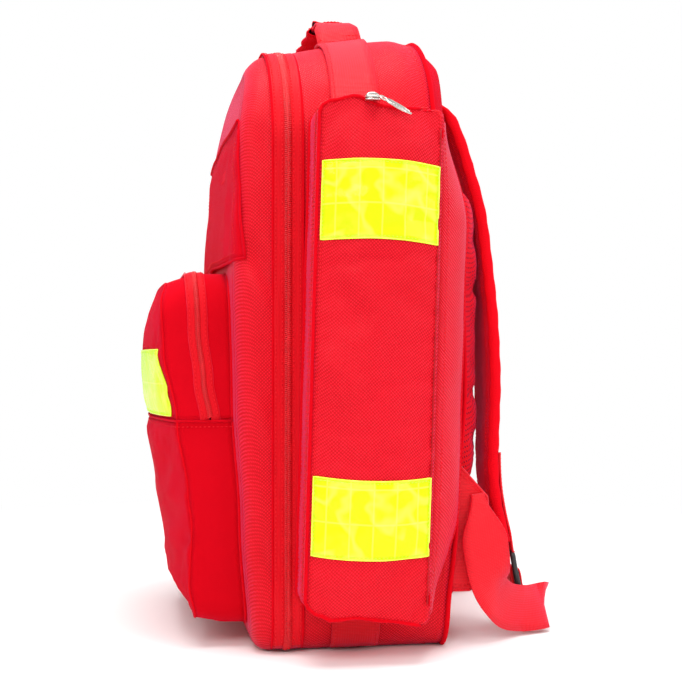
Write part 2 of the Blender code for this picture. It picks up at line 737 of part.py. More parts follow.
# ---- handle ----
def handle():
    foot = HANDLE_FOOT_Z
    top = foot + HANDLE_RISE
    right = [
        (HANDLE_HALF_SPAN, foot),
        (HANDLE_HALF_SPAN - 0.002, foot + 0.007),
        (HANDLE_HALF_SPAN - 0.007, top - 0.003),
        (HANDLE_HALF_SPAN - 0.016, top),
        (GRIP_HALF_LENGTH, top + 0.0005),
    ]
    line = right + [(-x, z) for x, z in reversed(right)]
    half = WEBBING_WIDTH / 2
    rows = [[(x, s * half, z - foot) for x, z in line] for s in (-1, 1)]
    hub = empty("handle_hub", (0, LOAD_WEBBING_Y, foot), (math.atan(TOP_SLOPE), 0, 0))
    mesh = patch_mesh("handle_webbing", rows, (1, 0, 0))
    thicken(place("handle_webbing", mesh, WEBBING, parent=hub), WEBBING_THICK, offset=0.0)

    middle = HANDLE_RISE + 0.0005
    beyond, around = 0.003, 0.0045
    low = (-GRIP_HALF_LENGTH, -half - beyond, middle - around)
    high = (GRIP_HALF_LENGTH, half + beyond, middle + around)
    grip = block("handle_grip", low, high, GRIP, 0.0035, parent=hub)
    room = GAP + WEBBING_THICK / 2
    tunnel = cutter_box(
        "grip_tunnel", (-0.1, -half - GAP, middle - room), (0.1, half + GAP, middle + room), hub
    )
    cut(grip, tunnel)


def build():
    rear_compartment()
    front_lid()
    main_zip()
    main_sliders()
    stiffeners()
    dividers()
    instrument_loops()
    lid_mesh_pocket()
    back_padding()
    front_pocket()
    front_slider()
    document_pocket()
    handle()
    for side, sign in (("right", 1), ("left", -1)):
        hub = empty(f"{side}_side")
        hub.scale = (sign, 1, 1)
        load_webbing(side, hub)
        side_pocket(side, hub)
        shoulder_strap(side, hub)
        ladder_lock(side, hub)
        lower_webbing(side, hub)
        anchor_wing(side, hub)


build()
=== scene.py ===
"""Looks of the trauma backpack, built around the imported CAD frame.

Metres, +Z up, -Y is the front of the bag and +Y its back. Every cloth piece carries a point
attribute named cloth, its place on the flat cloth in metres, which its weave is drawn from.
"""

import math

import bpy
from mathutils import Matrix, Vector, noise
from mathutils.bvhtree import BVHTree


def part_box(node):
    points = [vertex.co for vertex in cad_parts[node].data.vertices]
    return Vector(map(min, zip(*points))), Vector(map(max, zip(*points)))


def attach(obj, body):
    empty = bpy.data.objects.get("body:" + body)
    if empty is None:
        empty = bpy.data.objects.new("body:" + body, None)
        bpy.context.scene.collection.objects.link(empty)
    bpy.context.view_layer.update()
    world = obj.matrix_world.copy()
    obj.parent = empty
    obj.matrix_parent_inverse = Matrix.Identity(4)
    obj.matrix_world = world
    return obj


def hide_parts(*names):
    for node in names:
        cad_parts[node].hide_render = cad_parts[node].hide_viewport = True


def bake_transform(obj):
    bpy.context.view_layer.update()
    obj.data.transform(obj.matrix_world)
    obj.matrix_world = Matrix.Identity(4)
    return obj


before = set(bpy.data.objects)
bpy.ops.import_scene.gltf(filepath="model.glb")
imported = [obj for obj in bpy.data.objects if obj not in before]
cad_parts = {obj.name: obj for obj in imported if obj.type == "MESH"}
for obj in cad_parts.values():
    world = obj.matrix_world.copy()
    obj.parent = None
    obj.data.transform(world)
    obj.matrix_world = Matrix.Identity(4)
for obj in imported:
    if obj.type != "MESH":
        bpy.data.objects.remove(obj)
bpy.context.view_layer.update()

# ---- driving dimensions, from the frame ----
BODY_LOW, BODY_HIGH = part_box("rear_compartment")
LID_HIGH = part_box("front_lid")[1]
POCKET_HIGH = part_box("front_pocket")[1]
HALF_WIDTH = BODY_HIGH.x
REAR_Y = BODY_HIGH.y
SEAM_GAP = 0.001
ZIP_Y = BODY_LOW.y - SEAM_GAP
HEIGHT = LID_HIGH.z - 0.0043  # the cloth sags a little between its seams
TOP_SLOPE = 0.168
TOP_RADIUS = 0.085
FOOT_RADIUS = 0.024
LID_ROUNDING = 0.014
POCKET_HALF_WIDTH = POCKET_HIGH.x
POCKET_BOTTOM = 0.018
POCKET_TOP = 0.298
POCKET_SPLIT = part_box("front_pocket_flap")[0].z
WEBBING_WIDTH = 0.038
LOAD_WEBBING_Y = sum(v.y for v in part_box("handle_webbing")) / 2 - 0.003
SIDES = (("right", 1), ("left", -1))
STEP = 0.006  # spacing of the points on a panel


# ---- small tools ----
def node_range(node):
    """The heights between which a node of the frame stands."""
    low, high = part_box(node)
    return low.z, high.z


def clamp(value, low=0.0, high=1.0):
    return max(low, min(high, value))


def soft_step(value, low, high):
    t = clamp((value - low) / (high - low))
    return t * t * (3 - 2 * t)


def between(knots, at):
    """Smooth reading of a table of position and value."""
    if at <= knots[0][0]:
        return knots[0][1]
    for low, high in zip(knots, knots[1:]):
        if at <= high[0]:
            return low[1] + (high[1] - low[1]) * soft_step(at, low[0], high[0])
    return knots[-1][1]


def steps(length, size=STEP):
    return max(2, int(math.ceil(length / size)))


def smooth_line(points, size):
    """Catmull-Rom through the points, with a point about every size metres."""
    points = [Vector(p) for p in points]
    ends = [2 * points[0] - points[1], *points, 2 * points[-1] - points[-2]]
    made = []
    for a, b, c, d in zip(ends, ends[1:], ends[2:], ends[3:]):
        count = steps((c - b).length, size)
        for i in range(count):
            t = i / count
            made.append(
                0.5 * (2 * b + (c - a) * t + (2 * a - 5 * b + 4 * c - d) * t**2
                       + (3 * b - a - 3 * c + d) * t**3)
            )
    return made + [points[-1]]


def arc_points(centre, radius, start, end, size=STEP):
    count = steps(radius * abs(math.radians(end - start)), size)
    angles = [math.radians(start + (end - start) * i / count) for i in range(count + 1)]
    return [(centre[0] + radius * math.cos(a), centre[1] + radius * math.sin(a)) for a in angles]


def straight(a, b, size=STEP):
    """Points from a to b, leaving out both ends."""
    count = steps(math.dist(a, b), size)
    return [tuple(p + (q - p) * i / count for p, q in zip(a, b)) for i in range(1, count)]


def arch(half, bottom, top, foot, crown, size=STEP):
    """Right side of an arch, (x, z) from the end of its flat base to the start of its flat top."""
    low = arc_points((half - foot, bottom + foot), foot, -90, 0, size)
    high = arc_points((half - crown, top - crown), crown, 0, 90, size)
    return low + straight(low[-1], high[0], size) + high


def ring(half, bottom, top, foot, crown, size=STEP):
    """The whole arch as a loop that starts and ends at the middle of the base."""
    right = arch(half, bottom, top, foot, crown, size)
    start, end = (0.0, bottom), (0.0, top)
    right = [start] + straight(start, right[0], size) + right + straight(right[-1], end, size)
    return right + [end] + [(-x, z) for x, z in reversed(right)]


def ruffle(at, per_metre, seed=0.0):
    """Smooth noise from -1 to 1."""
    return noise.noise(Vector((at[0] + seed, at[1] - seed, at[2])) * per_metre)


def fold(at, start, end, width, height):
    """A fold that runs from start to end and fades out at both."""
    at, start, end = Vector(at), Vector(start), Vector(end)
    along = end - start
    t = (at - start).dot(along) / along.length_squared
    off = (at - start - along * clamp(t)).length
    fade = math.sin(math.pi * clamp(t)) ** 0.6 if 0 < t < 1 else 0.0
    return height * fade * math.exp(-((off / width) ** 2))


def folds(at, table):
    """The height at a point of a table's folds and of their mirror images."""
    return sum(fold(at, (sign * x0, y0, z0), (sign * x1, y1, z1), width, height)
               for sign in (1, -1) for (x0, y0, z0), (x1, y1, z1), width, height in table)


class Sheet:
    """A grid of points: rows along v, columns along u, both read from 0 to 1."""

    def __init__(self, rows, outward=1):
        self.rows = [[Vector(p) for p in row] for row in rows]
        self.outward = outward

    def at(self, u, v):
        last_row, last_column = len(self.rows) - 1, len(self.rows[0]) - 1
        i, j = clamp(v) * last_row, clamp(u) * last_column
        i0, j0 = min(int(i), last_row - 1), min(int(j), last_column - 1)
        a, b = i - i0, j - j0
        low = self.rows[i0][j0].lerp(self.rows[i0][j0 + 1], b)
        high = self.rows[i0 + 1][j0].lerp(self.rows[i0 + 1][j0 + 1], b)
        return low.lerp(high, a)

    def normal(self, u, v):
        e = 0.004
        across = self.at(u + e, v) - self.at(u - e, v)
        along = self.at(u, v + e) - self.at(u, v - e)
        return across.cross(along).normalized() * self.outward

    def lift(self, u, v, out=0.0):
        return self.at(u, v) + self.normal(u, v) * out

    def path(self, ends, out=0.0, size=0.004):
        """Points and normals along straight stretches of (u, v)."""
        made = []
        for (u0, v0), (u1, v1) in zip(ends, ends[1:]):
            length = (self.at(u1, v1) - self.at(u0, v0)).length
            count = steps(max(length, abs(u1 - u0) * 0.2), size)
            for i in range(count + 1):
                u, v = u0 + (u1 - u0) * i / count, v0 + (v1 - v0) * i / count
                if not made or i:
                    normal = self.normal(u, v)
                    made.append((self.at(u, v) + normal * out, normal))
        return made

    def shaped(self, height):
        """The sheet pushed out along its normals by height(point, u, v)."""
        rows, last_row, last_column = [], len(self.rows) - 1, len(self.rows[0]) - 1
        for i, row in enumerate(self.rows):
            made = []
            for j, p in enumerate(row):
                u, v = j / last_column, i / last_row
                made.append(p + self.normal(u, v) * height(p, u, v))
            rows.append(made)
        self.rows = rows
        return self

    def points(self):
        return [p for row in self.rows for p in row]

    def faces(self):
        """Four-sided faces between neighbouring points, turned outwards."""
        wide, made = len(self.rows[0]), []
        for i in range(len(self.rows) - 1):
            for j in range(wide - 1):
                a = i * wide + j
                b, c, d = a + 1, a + wide + 1, a + wide
                made.append((a, b, c, d) if self.outward > 0 else (a, d, c, b))
        return made

    def cloth_places(self):
        """Each point's place on the flat cloth, from lengths measured along the grid."""
        middle = len(self.rows[0]) // 2
        down, places = [0.0] * len(self.rows[0]), []
        for i, row in enumerate(self.rows):
            if i:
                down = [d + (p - q).length for d, p, q in zip(down, row, self.rows[i - 1])]
            run = [0.0]
            for a, b in zip(row, row[1:]):
                run.append(run[-1] + (b - a).length)
            places += [(r - run[middle], d, 0.0) for r, d in zip(run, down)]
        return places


def grid(rows, columns, point, outward=1):
    """A sheet with point(u, v) at each crossing of its rows and columns."""
    return Sheet([[point(j / columns, i / rows) for j in range(columns + 1)]
                  for i in range(rows + 1)],
                 outward)


def mesh_object(name, points, faces, finish, places=None):
    mesh = bpy.data.meshes.new(name)
    mesh.from_pydata([tuple(p) for p in points], [], faces)
    if places:
        cloth = mesh.attributes.new("cloth", "FLOAT_VECTOR", "POINT")
        cloth.data.foreach_set("vector", [c for place in places for c in place])
    mesh.shade_smooth()
    for one in finish if isinstance(finish, (list, tuple)) else [finish]:
        mesh.materials.append(one)
    made = bpy.data.objects.new(name, mesh)
    bpy.context.scene.collection.objects.link(made)
    return made


def panel(name, sheet, finish, thick=0.0, lining=None):
    """The sheet as cloth, thickened inwards; lining is the finish of its inner face."""
    finishes = [finish, lining] if lining else [finish]
    made = mesh_object(name, sheet.points(), sheet.faces(), finishes, sheet.cloth_places())
    if thick:
        wall = made.modifiers.new("cloth_thickness", "SOLIDIFY")
        wall.thickness = thick
        wall.offset = -1
        wall.use_even_offset = False  # an even offset throws a point far out at a sharp corner
        if lining:
            wall.material_offset = 1
    return made


def frames_along(path, ups, closed=False):
    """(point, across, up) at each point of a path, up as near as may be to the one given."""
    made, last = [], len(path) - 1
    for i, point in enumerate(path):
        after = path[(i + 1) % len(path)] if closed else path[min(i + 1, last)]
        before = path[i - 1] if closed else path[max(i - 1, 0)]
        forward = (after - before).normalized()
        up = ups[i] if isinstance(ups, list) else Vector(ups)
        across = forward.cross(up).normalized()
        made.append((point, across, across.cross(forward).normalized()))
    return made


def loft(name, stations, section, finish, closed=False):
    """A solid swept along stations. section(i) gives its outline as (across, up) points."""
    points, places, run = [], [], 0.0
    wide = len(section(0))
    for i, (point, across, up) in enumerate(stations):
        if i:
            run += (point - stations[i - 1][0]).length
        outline = section(i)
        for s, h in outline:
            points.append(point + across * s + up * h)
            places.append((s, run, 0.0))
    faces = []
    for i in range(len(stations) - (0 if closed else 1)):
        low, high = i * wide, ((i + 1) % len(stations)) * wide
        for j in range(wide):
            k = (j + 1) % wide
            faces.append((low + j, low + k, high + k, high + j))
    if not closed:
        faces.append(tuple(reversed(range(wide))))
        faces.append(tuple(range(len(points) - wide, len(points))))
    return mesh_object(name, points, faces, finish, places)


def round_section(radius, flat=1.0, sides=8):
    turn = 2 * math.pi / sides
    return [(radius * math.cos(turn * k), radius * flat * math.sin(turn * k)) for k in range(sides)]


def strip_section(width, thick, crown=0.0):
    """A flat strip with rounded edges and, if asked, a slightly crowned face."""
    half, edge = width / 2, thick / 2
    across = [-half + edge * 0.4, -half * 0.6, 0.0, half * 0.6, half - edge * 0.4]
    top = [(s, edge + crown * (1 - (s / half) ** 2)) for s in across]
    return [(-half, 0.0)] + top + [(half, 0.0)] + [(s, -edge) for s in reversed(across)]


def tube(name, path, radius, finish, ups=(0, 0, 1), closed=False, flat=1.0, sides=8):
    outline = round_section(radius, flat, sides)
    return loft(name, frames_along(path, ups, closed), lambda i: outline, finish, closed)


def strip(name, marks, width, thick, finish, crown=0.0, closed=False):
    """A flat strip along marks, which are (point, normal) pairs."""
    outline = strip_section(width, thick, crown)
    path, ups = [p for p, _ in marks], [n for _, n in marks]
    return loft(name, frames_along(path, ups, closed), lambda i: outline, finish, closed)


def resampled(marks, size):
    """The same line of (point, normal) marks with one every size metres."""
    made, left = [marks[0]], size
    for (p, n), (q, m) in zip(marks, marks[1:]):
        length, gone = (q - p).length, 0.0
        while length - gone >= left:
            gone += left
            t = gone / length
            made.append((p.lerp(q, t), n.lerp(m, t).normalized()))
            left = size
        left -= length - gone
    return made


class Small:
    """Collects many small solids of one finish into one mesh."""

    def __init__(self):
        self.points, self.faces = [], []

    def spindle(self, a, b, up, radius):
        """A stretched octahedron from a to b."""
        along = b - a
        across = along.cross(up).normalized()
        lift = across.cross(along).normalized()
        middle, start = (a + b) / 2, len(self.points)
        self.points += [
            a, middle + across * radius, middle + lift * radius, middle - across * radius,
            middle - lift * radius, b,
        ]
        for k in range(4):
            low, high = start + 1 + k, start + 1 + (k + 1) % 4
            self.faces += [(start, high, low), (start + 5, low, high)]

    def brick(self, centre, x, y, z):
        """A box with its upper edges drawn in, x, y and z being half its sides."""
        start = len(self.points)
        for h, s in ((-1, 1.0), (0.4, 1.0), (1, 0.6)):
            for a, b in ((-1, -1), (1, -1), (1, 1), (-1, 1)):
                self.points.append(centre + x * a * s + y * b * s + z * h)
        self.faces.append((start + 3, start + 2, start + 1, start))
        for level in (0, 4):
            for k in range(4):
                n = (k + 1) % 4
                low, high = start + level + k, start + level + n
                self.faces.append((low, high, high + 4, low + 4))
        self.faces.append((start + 8, start + 9, start + 10, start + 11))

    def stitches(self, marks, pitch=0.0034, length=0.0026, radius=0.00042, lift=0.0002):
        """A row of stitches along a line of (point, normal) marks."""
        line = resampled(marks, pitch)
        for (p, n), (q, _) in zip(line, line[1:]):
            along = (q - p).normalized()
            middle = (p + q) / 2 + n * lift
            self.spindle(middle - along * length / 2, middle + along * length / 2, n, radius)

    def made(self, name, finish):
        return mesh_object(name, self.points, self.faces, finish)


def worn(piece, body, slot_name, *nodes):
    """The piece rides on a body and stands for the nodes named, which are hidden; its slot name is
    not used.
    """
    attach(piece, body)
    if nodes:
        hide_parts(*nodes)
    return piece


def cord(name, marks, radius, finish, body, slot_name="oxford_fabric", **more):
    """A round edge or piping along (point, normal) marks."""
    made = tube(name, [p for p, _ in marks], radius, finish, [n for _, n in marks], **more)
    return worn(made, body, slot_name)


THREAD = {}  # stitches, by the body that they ride on


def thread(body):
    return THREAD.setdefault(body, Small())


def baked(made):
    """The object with its modifiers applied."""
    graph = bpy.context.evaluated_depsgraph_get()
    mesh = bpy.data.meshes.new_from_object(made.evaluated_get(graph))
    made.modifiers.clear()
    made.data = mesh
    return made


# ---- materials ----
class Finish:
    """A material, with short ways to add nodes to it."""

    def __init__(self, name, colour, roughness, **settings):
        self.material = bpy.data.materials.new(name)
        self.material.use_nodes = True
        self.tree = self.material.node_tree
        self.shader = self.tree.nodes["Principled BSDF"]
        self.shader.inputs["Base Color"].default_value = (*colour, 1)
        self.shader.inputs["Roughness"].default_value = roughness
        for setting, value in settings.items():
            self.shader.inputs[setting.replace("_", " ")].default_value = value

    def node(self, kind, output=0, **inputs):
        made = self.tree.nodes.new("ShaderNode" + kind)
        for socket, value in inputs.items():
            self.feed(made.inputs[socket.replace("_", " ")], value)
        return made.outputs[output]

    def feed(self, socket, value):
        if isinstance(value, bpy.types.NodeSocket):
            self.tree.links.new(value, socket)
        else:
            socket.default_value = value

    def math(self, operation, *values):
        """One arithmetic step on sockets or numbers."""
        made = self.tree.nodes.new("ShaderNodeMath")
        made.operation = operation
        for socket, value in zip(made.inputs, values):
            self.feed(socket, value)
        return made.outputs[0]

    def cloth(self):
        """The place on the flat cloth, as x and y sockets."""
        made = self.tree.nodes.new("ShaderNodeAttribute")
        made.attribute_name = "cloth"
        parts = self.tree.nodes.new("ShaderNodeSeparateXYZ")
        self.tree.links.new(made.outputs["Vector"], parts.inputs[0])
        return made.outputs["Vector"], parts.outputs[0], parts.outputs[1]

    def place(self):
        """The place on the object."""
        return self.node("TexCoord", output=3)

    def wave(self, along, pitch):
        """A cosine from -1 to 1 that repeats every pitch metres."""
        return self.math("COSINE", self.math("MULTIPLY", along, 2 * math.pi / pitch))

    def noise(self, at, scale, detail=3.0, roughness=0.5):
        made = self.tree.nodes.new("ShaderNodeTexNoise")
        self.feed(made.inputs["Vector"], at)
        made.inputs["Scale"].default_value = scale
        made.inputs["Detail"].default_value = detail
        made.inputs["Roughness"].default_value = roughness
        return made.outputs["Fac"]

    def ramp(self, value, low, high):
        """The value stretched so that low becomes 0 and high becomes 1, smoothly."""
        made = self.tree.nodes.new("ShaderNodeMapRange")
        made.interpolation_type = "SMOOTHSTEP"
        self.feed(made.inputs["Value"], value)
        made.inputs["From Min"].default_value = low
        made.inputs["From Max"].default_value = high
        return made.outputs["Result"]

    def mix(self, share, a, b):
        made = self.tree.nodes.new("ShaderNodeMix")
        made.data_type = "RGBA"
        self.feed(made.inputs["Factor"], share)
        for socket, value in ((made.inputs["A"], a), (made.inputs["B"], b)):
            self.feed(socket, value if isinstance(value, bpy.types.NodeSocket) else (*value, 1))
        return made.outputs["Result"]

    def use(self, colour, roughness, height, depth, strength):
        """The material with this colour and roughness, and bump depth metres high."""
        self.feed(self.shader.inputs["Base Color"], colour)
        self.feed(self.shader.inputs["Roughness"], roughness)
        bump = self.tree.nodes.new("ShaderNodeBump")
        bump.inputs["Strength"].default_value = strength
        bump.inputs["Distance"].default_value = depth
        self.feed(bump.inputs["Height"], height)
        self.tree.links.new(bump.outputs["Normal"], self.shader.inputs["Normal"])
        return self.material


RED = (0.76, 0.003, 0.012)
DEEP_RED = (0.56, 0.002, 0.007)
DARK_RED = (0.34, 0.002, 0.006)
SHEEN = {"Sheen_Weight": 0.24, "Sheen_Roughness": 0.32, "Sheen_Tint": (1.0, 0.22, 0.62, 1)}


def shaded(m, base, amount):
    """The colour with slow variation, as handled cloth has."""
    slow = m.noise(m.place(), 9.0, 4.0)
    return m.mix(m.math("MULTIPLY", m.ramp(slow, 0.42, 0.75), amount), base, DEEP_RED)


def honeycomb_fabric():
    """A coarse weave of raised diamond floats, 2.7 mm apart; the floats are painted lighter, a
    painted highlight, and the ground between them darker, painted shade.
    """
    m = Finish("honeycomb", RED, 0.5, Specular_IOR_Level=0.14, **SHEEN)
    at, x, y = m.cloth()
    pitch = 0.0027
    wobble = m.math("MULTIPLY", m.math("SUBTRACT", m.noise(at, 300.0, 1.0), 0.5), 0.0003)
    x = m.math("ADD", x, wobble)
    lattice = m.math("MULTIPLY", m.wave(x, pitch), m.wave(y, pitch))
    floats = m.ramp(lattice, -0.15, 0.75)
    fibre = m.noise(at, 4200.0, 2.0)
    # Painted highlight and shade: the floats are painted a lighter pink-red as if lit, the hollows
    # between them darker as if shaded.
    colour = m.mix(floats, (0.60, 0.001, 0.008), (0.94, 0.011, 0.034))
    colour = shaded(m, colour, 0.25)
    height = m.math("MULTIPLY_ADD", fibre, 0.15, floats)
    roughness = m.math("MULTIPLY_ADD", floats, -0.20, 0.56)
    return m.use(colour, roughness, height, 0.00042, 0.9)


def oxford_fabric(name="oxford", base=(0.72, 0.003, 0.012), pitch=0.00085):
    """A smooth coated plain weave."""
    m = Finish(name, base, 0.5, Specular_IOR_Level=0.004, **{**SHEEN, "Sheen_Weight": 0.11})
    at, x, y = m.cloth()
    weave = m.math("MULTIPLY", m.wave(x, pitch), m.wave(y, pitch))
    slub = m.noise(at, 900.0, 2.0)
    height = m.math("MULTIPLY_ADD", slub, 0.9, m.math("MULTIPLY", weave, 0.5))
    creases = m.noise(m.place(), 34.0, 5.0, 0.62)
    height = m.math("MULTIPLY_ADD", creases, 2.2, height)
    tone = m.ramp(m.math("ADD", weave, slub), -0.2, 1.3)
    colour = m.mix(tone, tuple(c * 0.84 for c in base), tuple(min(1.0, c * 1.10) for c in base))
    return m.use(shaded(m, colour, 0.30), m.math("MULTIPLY_ADD", slub, 0.2, 0.40), height, 0.0005,
                 0.7)


def ribbed_webbing(name="webbing", base=(0.86, 0.006, 0.018), rib=0.0012):
    """Woven strap: ribs across it, and fine ends along it."""
    m = Finish(name, base, 0.42, Specular_IOR_Level=0.22, **SHEEN)
    at, x, y = m.cloth()
    ribs = m.wave(y, rib)
    ends = m.wave(x, 0.0019)
    lattice = m.math("MULTIPLY_ADD", m.math("MULTIPLY", ribs, ends), 0.35,
                     m.math("MULTIPLY", ribs, 0.6))
    fibre = m.noise(at, 2600.0, 2.0)
    height = m.math("MULTIPLY_ADD", fibre, 0.35, lattice)
    tone = m.ramp(lattice, -0.7, 0.7)
    colour = m.mix(tone, tuple(c * 0.80 for c in base), base)
    return m.use(shaded(m, colour, 0.22), 0.45, height, 0.00030, 0.8)


def air_mesh():
    """Spacer mesh of the pads: rows of small hexagonal holes in a soft knit."""
    m = Finish("air_mesh", RED, 0.75, Specular_IOR_Level=0.12, **SHEEN)
    at, x, y = m.cloth()
    pitch = 0.0042
    lattice = m.math("MULTIPLY", m.wave(x, pitch), m.wave(y, pitch))
    holes = m.ramp(lattice, 0.45, 0.8)
    knit = m.noise(at, 2400.0, 2.0)
    # The holes are painted near black: painted shade in the hollows of the mesh.
    colour = m.mix(holes, RED, (0.10, 0.001, 0.003))
    height = m.math("MULTIPLY_ADD", knit, 0.35, m.math("SUBTRACT", 1.0, holes))
    return m.use(shaded(m, colour, 0.2), 0.75, height, 0.0009, 0.9)


def twill():
    """Fine diagonal weave on the faces of the shoulder straps."""
    m = Finish("twill", RED, 0.5, Specular_IOR_Level=0.16, **SHEEN)
    at, x, y = m.cloth()
    ribs = m.wave(m.math("ADD", x, m.math("MULTIPLY", y, 0.7)), 0.0011)
    fibre = m.noise(at, 2600.0, 2.0)
    height = m.math("MULTIPLY_ADD", fibre, 0.5, m.math("MULTIPLY", ribs, 0.6))
    tone = m.ramp(ribs, -1.0, 1.0)
    colour = m.mix(tone, (0.62, 0.003, 0.011), (0.84, 0.008, 0.02))
    return m.use(shaded(m, colour, 0.25), 0.5, height, 0.00028, 0.7)


def lining_fabric():
    """Thin coated nylon with a ripstop grid."""
    m = Finish("lining", DEEP_RED, 0.38, Specular_IOR_Level=0.22)
    at, x, y = m.cloth()
    grid = m.math("MAXIMUM", m.ramp(m.wave(x, 0.006), 0.93, 1.0),
                  m.ramp(m.wave(y, 0.006), 0.93, 1.0))
    weave = m.math("MULTIPLY", m.wave(x, 0.0006), m.wave(y, 0.0006))
    creases = m.noise(m.place(), 40.0, 5.0, 0.65)
    height = m.math("MULTIPLY_ADD", creases, 3.0, m.math("MULTIPLY_ADD", weave, 0.25, grid))
    colour = m.mix(grid, (0.40, 0.002, 0.008), (0.50, 0.004, 0.012))
    return m.use(shaded(m, colour, 0.4), 0.4, height, 0.0003, 0.6)


def lid_mesh():
    """Open net of the pouch inside the lid, with real holes."""
    m = Finish("net", DARK_RED, 0.6)
    at, x, y = m.cloth()
    pitch = 0.0052
    lattice = m.math("MULTIPLY", m.wave(x, pitch), m.wave(y, pitch))
    holes = m.ramp(m.math("ABSOLUTE", lattice), 0.22, 0.34)
    m.feed(m.shader.inputs["Alpha"], m.math("SUBTRACT", 1.0, holes))
    return m.use(m.mix(holes, (0.34, 0.002, 0.008), DARK_RED), 0.6, lattice, 0.0004, 0.8)


def reflective_tape():
    """Fluorescent PVC: embossed cells under a glossy skin, with a welded edge and creases."""
    m = Finish(
        "reflective", (0.62, 0.92, 0.006), 0.2, Coat_Weight=0.22, Coat_Roughness=0.1,
        Specular_IOR_Level=0.04,
        # The emission is a painted glow that stands in for the tape's fluorescence; it shines
        # whatever the lamps do.
        Emission_Color=(0.62, 1.0, 0.0, 1), Emission_Strength=0.20,
    )
    at, x, y = m.cloth()
    cells = m.math("MAXIMUM", m.ramp(m.wave(x, 0.0175), 0.955, 1.0),
                   m.ramp(m.wave(y, 0.026), 0.975, 1.0))
    fine = m.math("MULTIPLY", m.wave(m.math("ADD", x, y), 0.0011),
                  m.wave(m.math("SUBTRACT", x, y), 0.0011))
    creases = m.noise(m.place(), 26.0, 4.0, 0.55)
    sharp = m.math("ABSOLUTE", m.math("SUBTRACT", m.noise(at, 24.0, 2.0), 0.5))
    crease_and_highlight = m.ramp(sharp, 0.05, 0.0)
    pale = m.math("MULTIPLY", m.ramp(m.noise(at, 48.0, 3.0), 0.50, 0.72), 0.30)
    colour = m.mix(pale, (0.58, 0.90, 0.005), (0.80, 0.98, 0.06))
    colour = m.mix(m.math("MULTIPLY", cells, 0.30), colour, (0.88, 1.0, 0.20))
    # Paler along the sharp creases: a painted highlight, as of lamp light caught in the folds.
    colour = m.mix(m.math("MULTIPLY", crease_and_highlight, 0.14), colour, (1.0, 1.0, 0.45))
    height = m.math("MULTIPLY_ADD", fine, 0.03, m.math("MULTIPLY", cells, 0.5))
    height = m.math("MULTIPLY_ADD", creases, 3.0, height)
    height = m.math("MULTIPLY_ADD", crease_and_highlight, 0.5, height)
    return m.use(colour, 0.22, height, 0.0006, 0.55)


def zip_tape():
    m = Finish("zip_tape", (0.72, 0.004, 0.012), 0.5, Specular_IOR_Level=0.12, **SHEEN)
    at, x, y = m.cloth()
    ribs = m.wave(x, 0.0011)
    height = m.math("MULTIPLY_ADD", m.noise(at, 2400.0, 2.0), 0.4, ribs)
    colour = m.mix(m.ramp(ribs, -1.0, 1.0), (0.60, 0.002, 0.009), (0.76, 0.004, 0.013))
    return m.use(colour, 0.5, height, 0.00014, 0.7)


def plain(name, colour, roughness, grain, depth, **settings):
    """A smooth material with a fine grain and a little wear."""
    m = Finish(name, colour, roughness, **settings)
    fine = m.noise(m.place(), grain, 3.0)
    wear = m.ramp(m.noise(m.place(), 55.0, 4.0, 0.7), 0.45, 0.75)
    worn = m.mix(m.math("MULTIPLY", wear, 0.4), colour,
                 tuple(min(1.0, c * 1.5 + 0.01) for c in colour))
    rough = m.math("MULTIPLY_ADD", wear, 0.12, m.math("MULTIPLY_ADD", fine, 0.14, roughness - 0.08))
    return m.use(worn, rough, fine, depth, 0.5)


HONEYCOMB = honeycomb_fabric()
OXFORD = oxford_fabric()
BINDING = oxford_fabric("binding", (0.80, 0.004, 0.012), 0.0014)
PIPING = oxford_fabric("piping", (0.74, 0.003, 0.010), 0.0012)
WEBBING = ribbed_webbing()
AIR_MESH = air_mesh()
TWILL = twill()
LINING = lining_fabric()
NET = lid_mesh()
TAPE = reflective_tape()
ZIP = zip_tape()
COIL = plain("coil", (0.62, 0.003, 0.010), 0.38, 900.0, 0.00006, Specular_IOR_Level=0.3)
NICKEL = plain("nickel", (0.62, 0.59, 0.55), 0.28, 700.0, 0.00004, Metallic=1.0)
BLACK = plain("black_plastic", (0.014, 0.014, 0.016), 0.36, 1500.0, 0.00012)
THREAD_RED = plain("thread", (0.80, 0.006, 0.016), 0.45, 2500.0, 0.00008, Specular_IOR_Level=0.2)
THREAD_YELLOW = plain("yellow_thread", (0.70, 0.95, 0.05), 0.4, 2500.0, 0.00008)
HOOK_LOOP = plain("hook_loop", (0.010, 0.010, 0.012), 0.8, 900.0, 0.0012)


# ---- main compartment ----
REAR_EDGE = ((0.0, 0.056), (0.10, 0.065), (0.20, 0.072), (0.30, 0.070), (0.36, 0.060),
             (0.42, 0.0465), (0.50, 0.043))
LID_FACE = ((0.0, -0.096), (0.10, -0.102), (0.20, -0.108), (0.31, -0.1105), (0.40, -0.1065),
            (0.50, -0.0935))
LID_DOME = 0.0045  # how far the lid's face swells at its middle
REAR_DRAW = 0.0045  # how far the seam of the back is drawn in
WALL = 0.0035
CLOTH, SIDE_CLOTH, LINER = 0.0018, 0.0016, 0.0008  # thicknesses
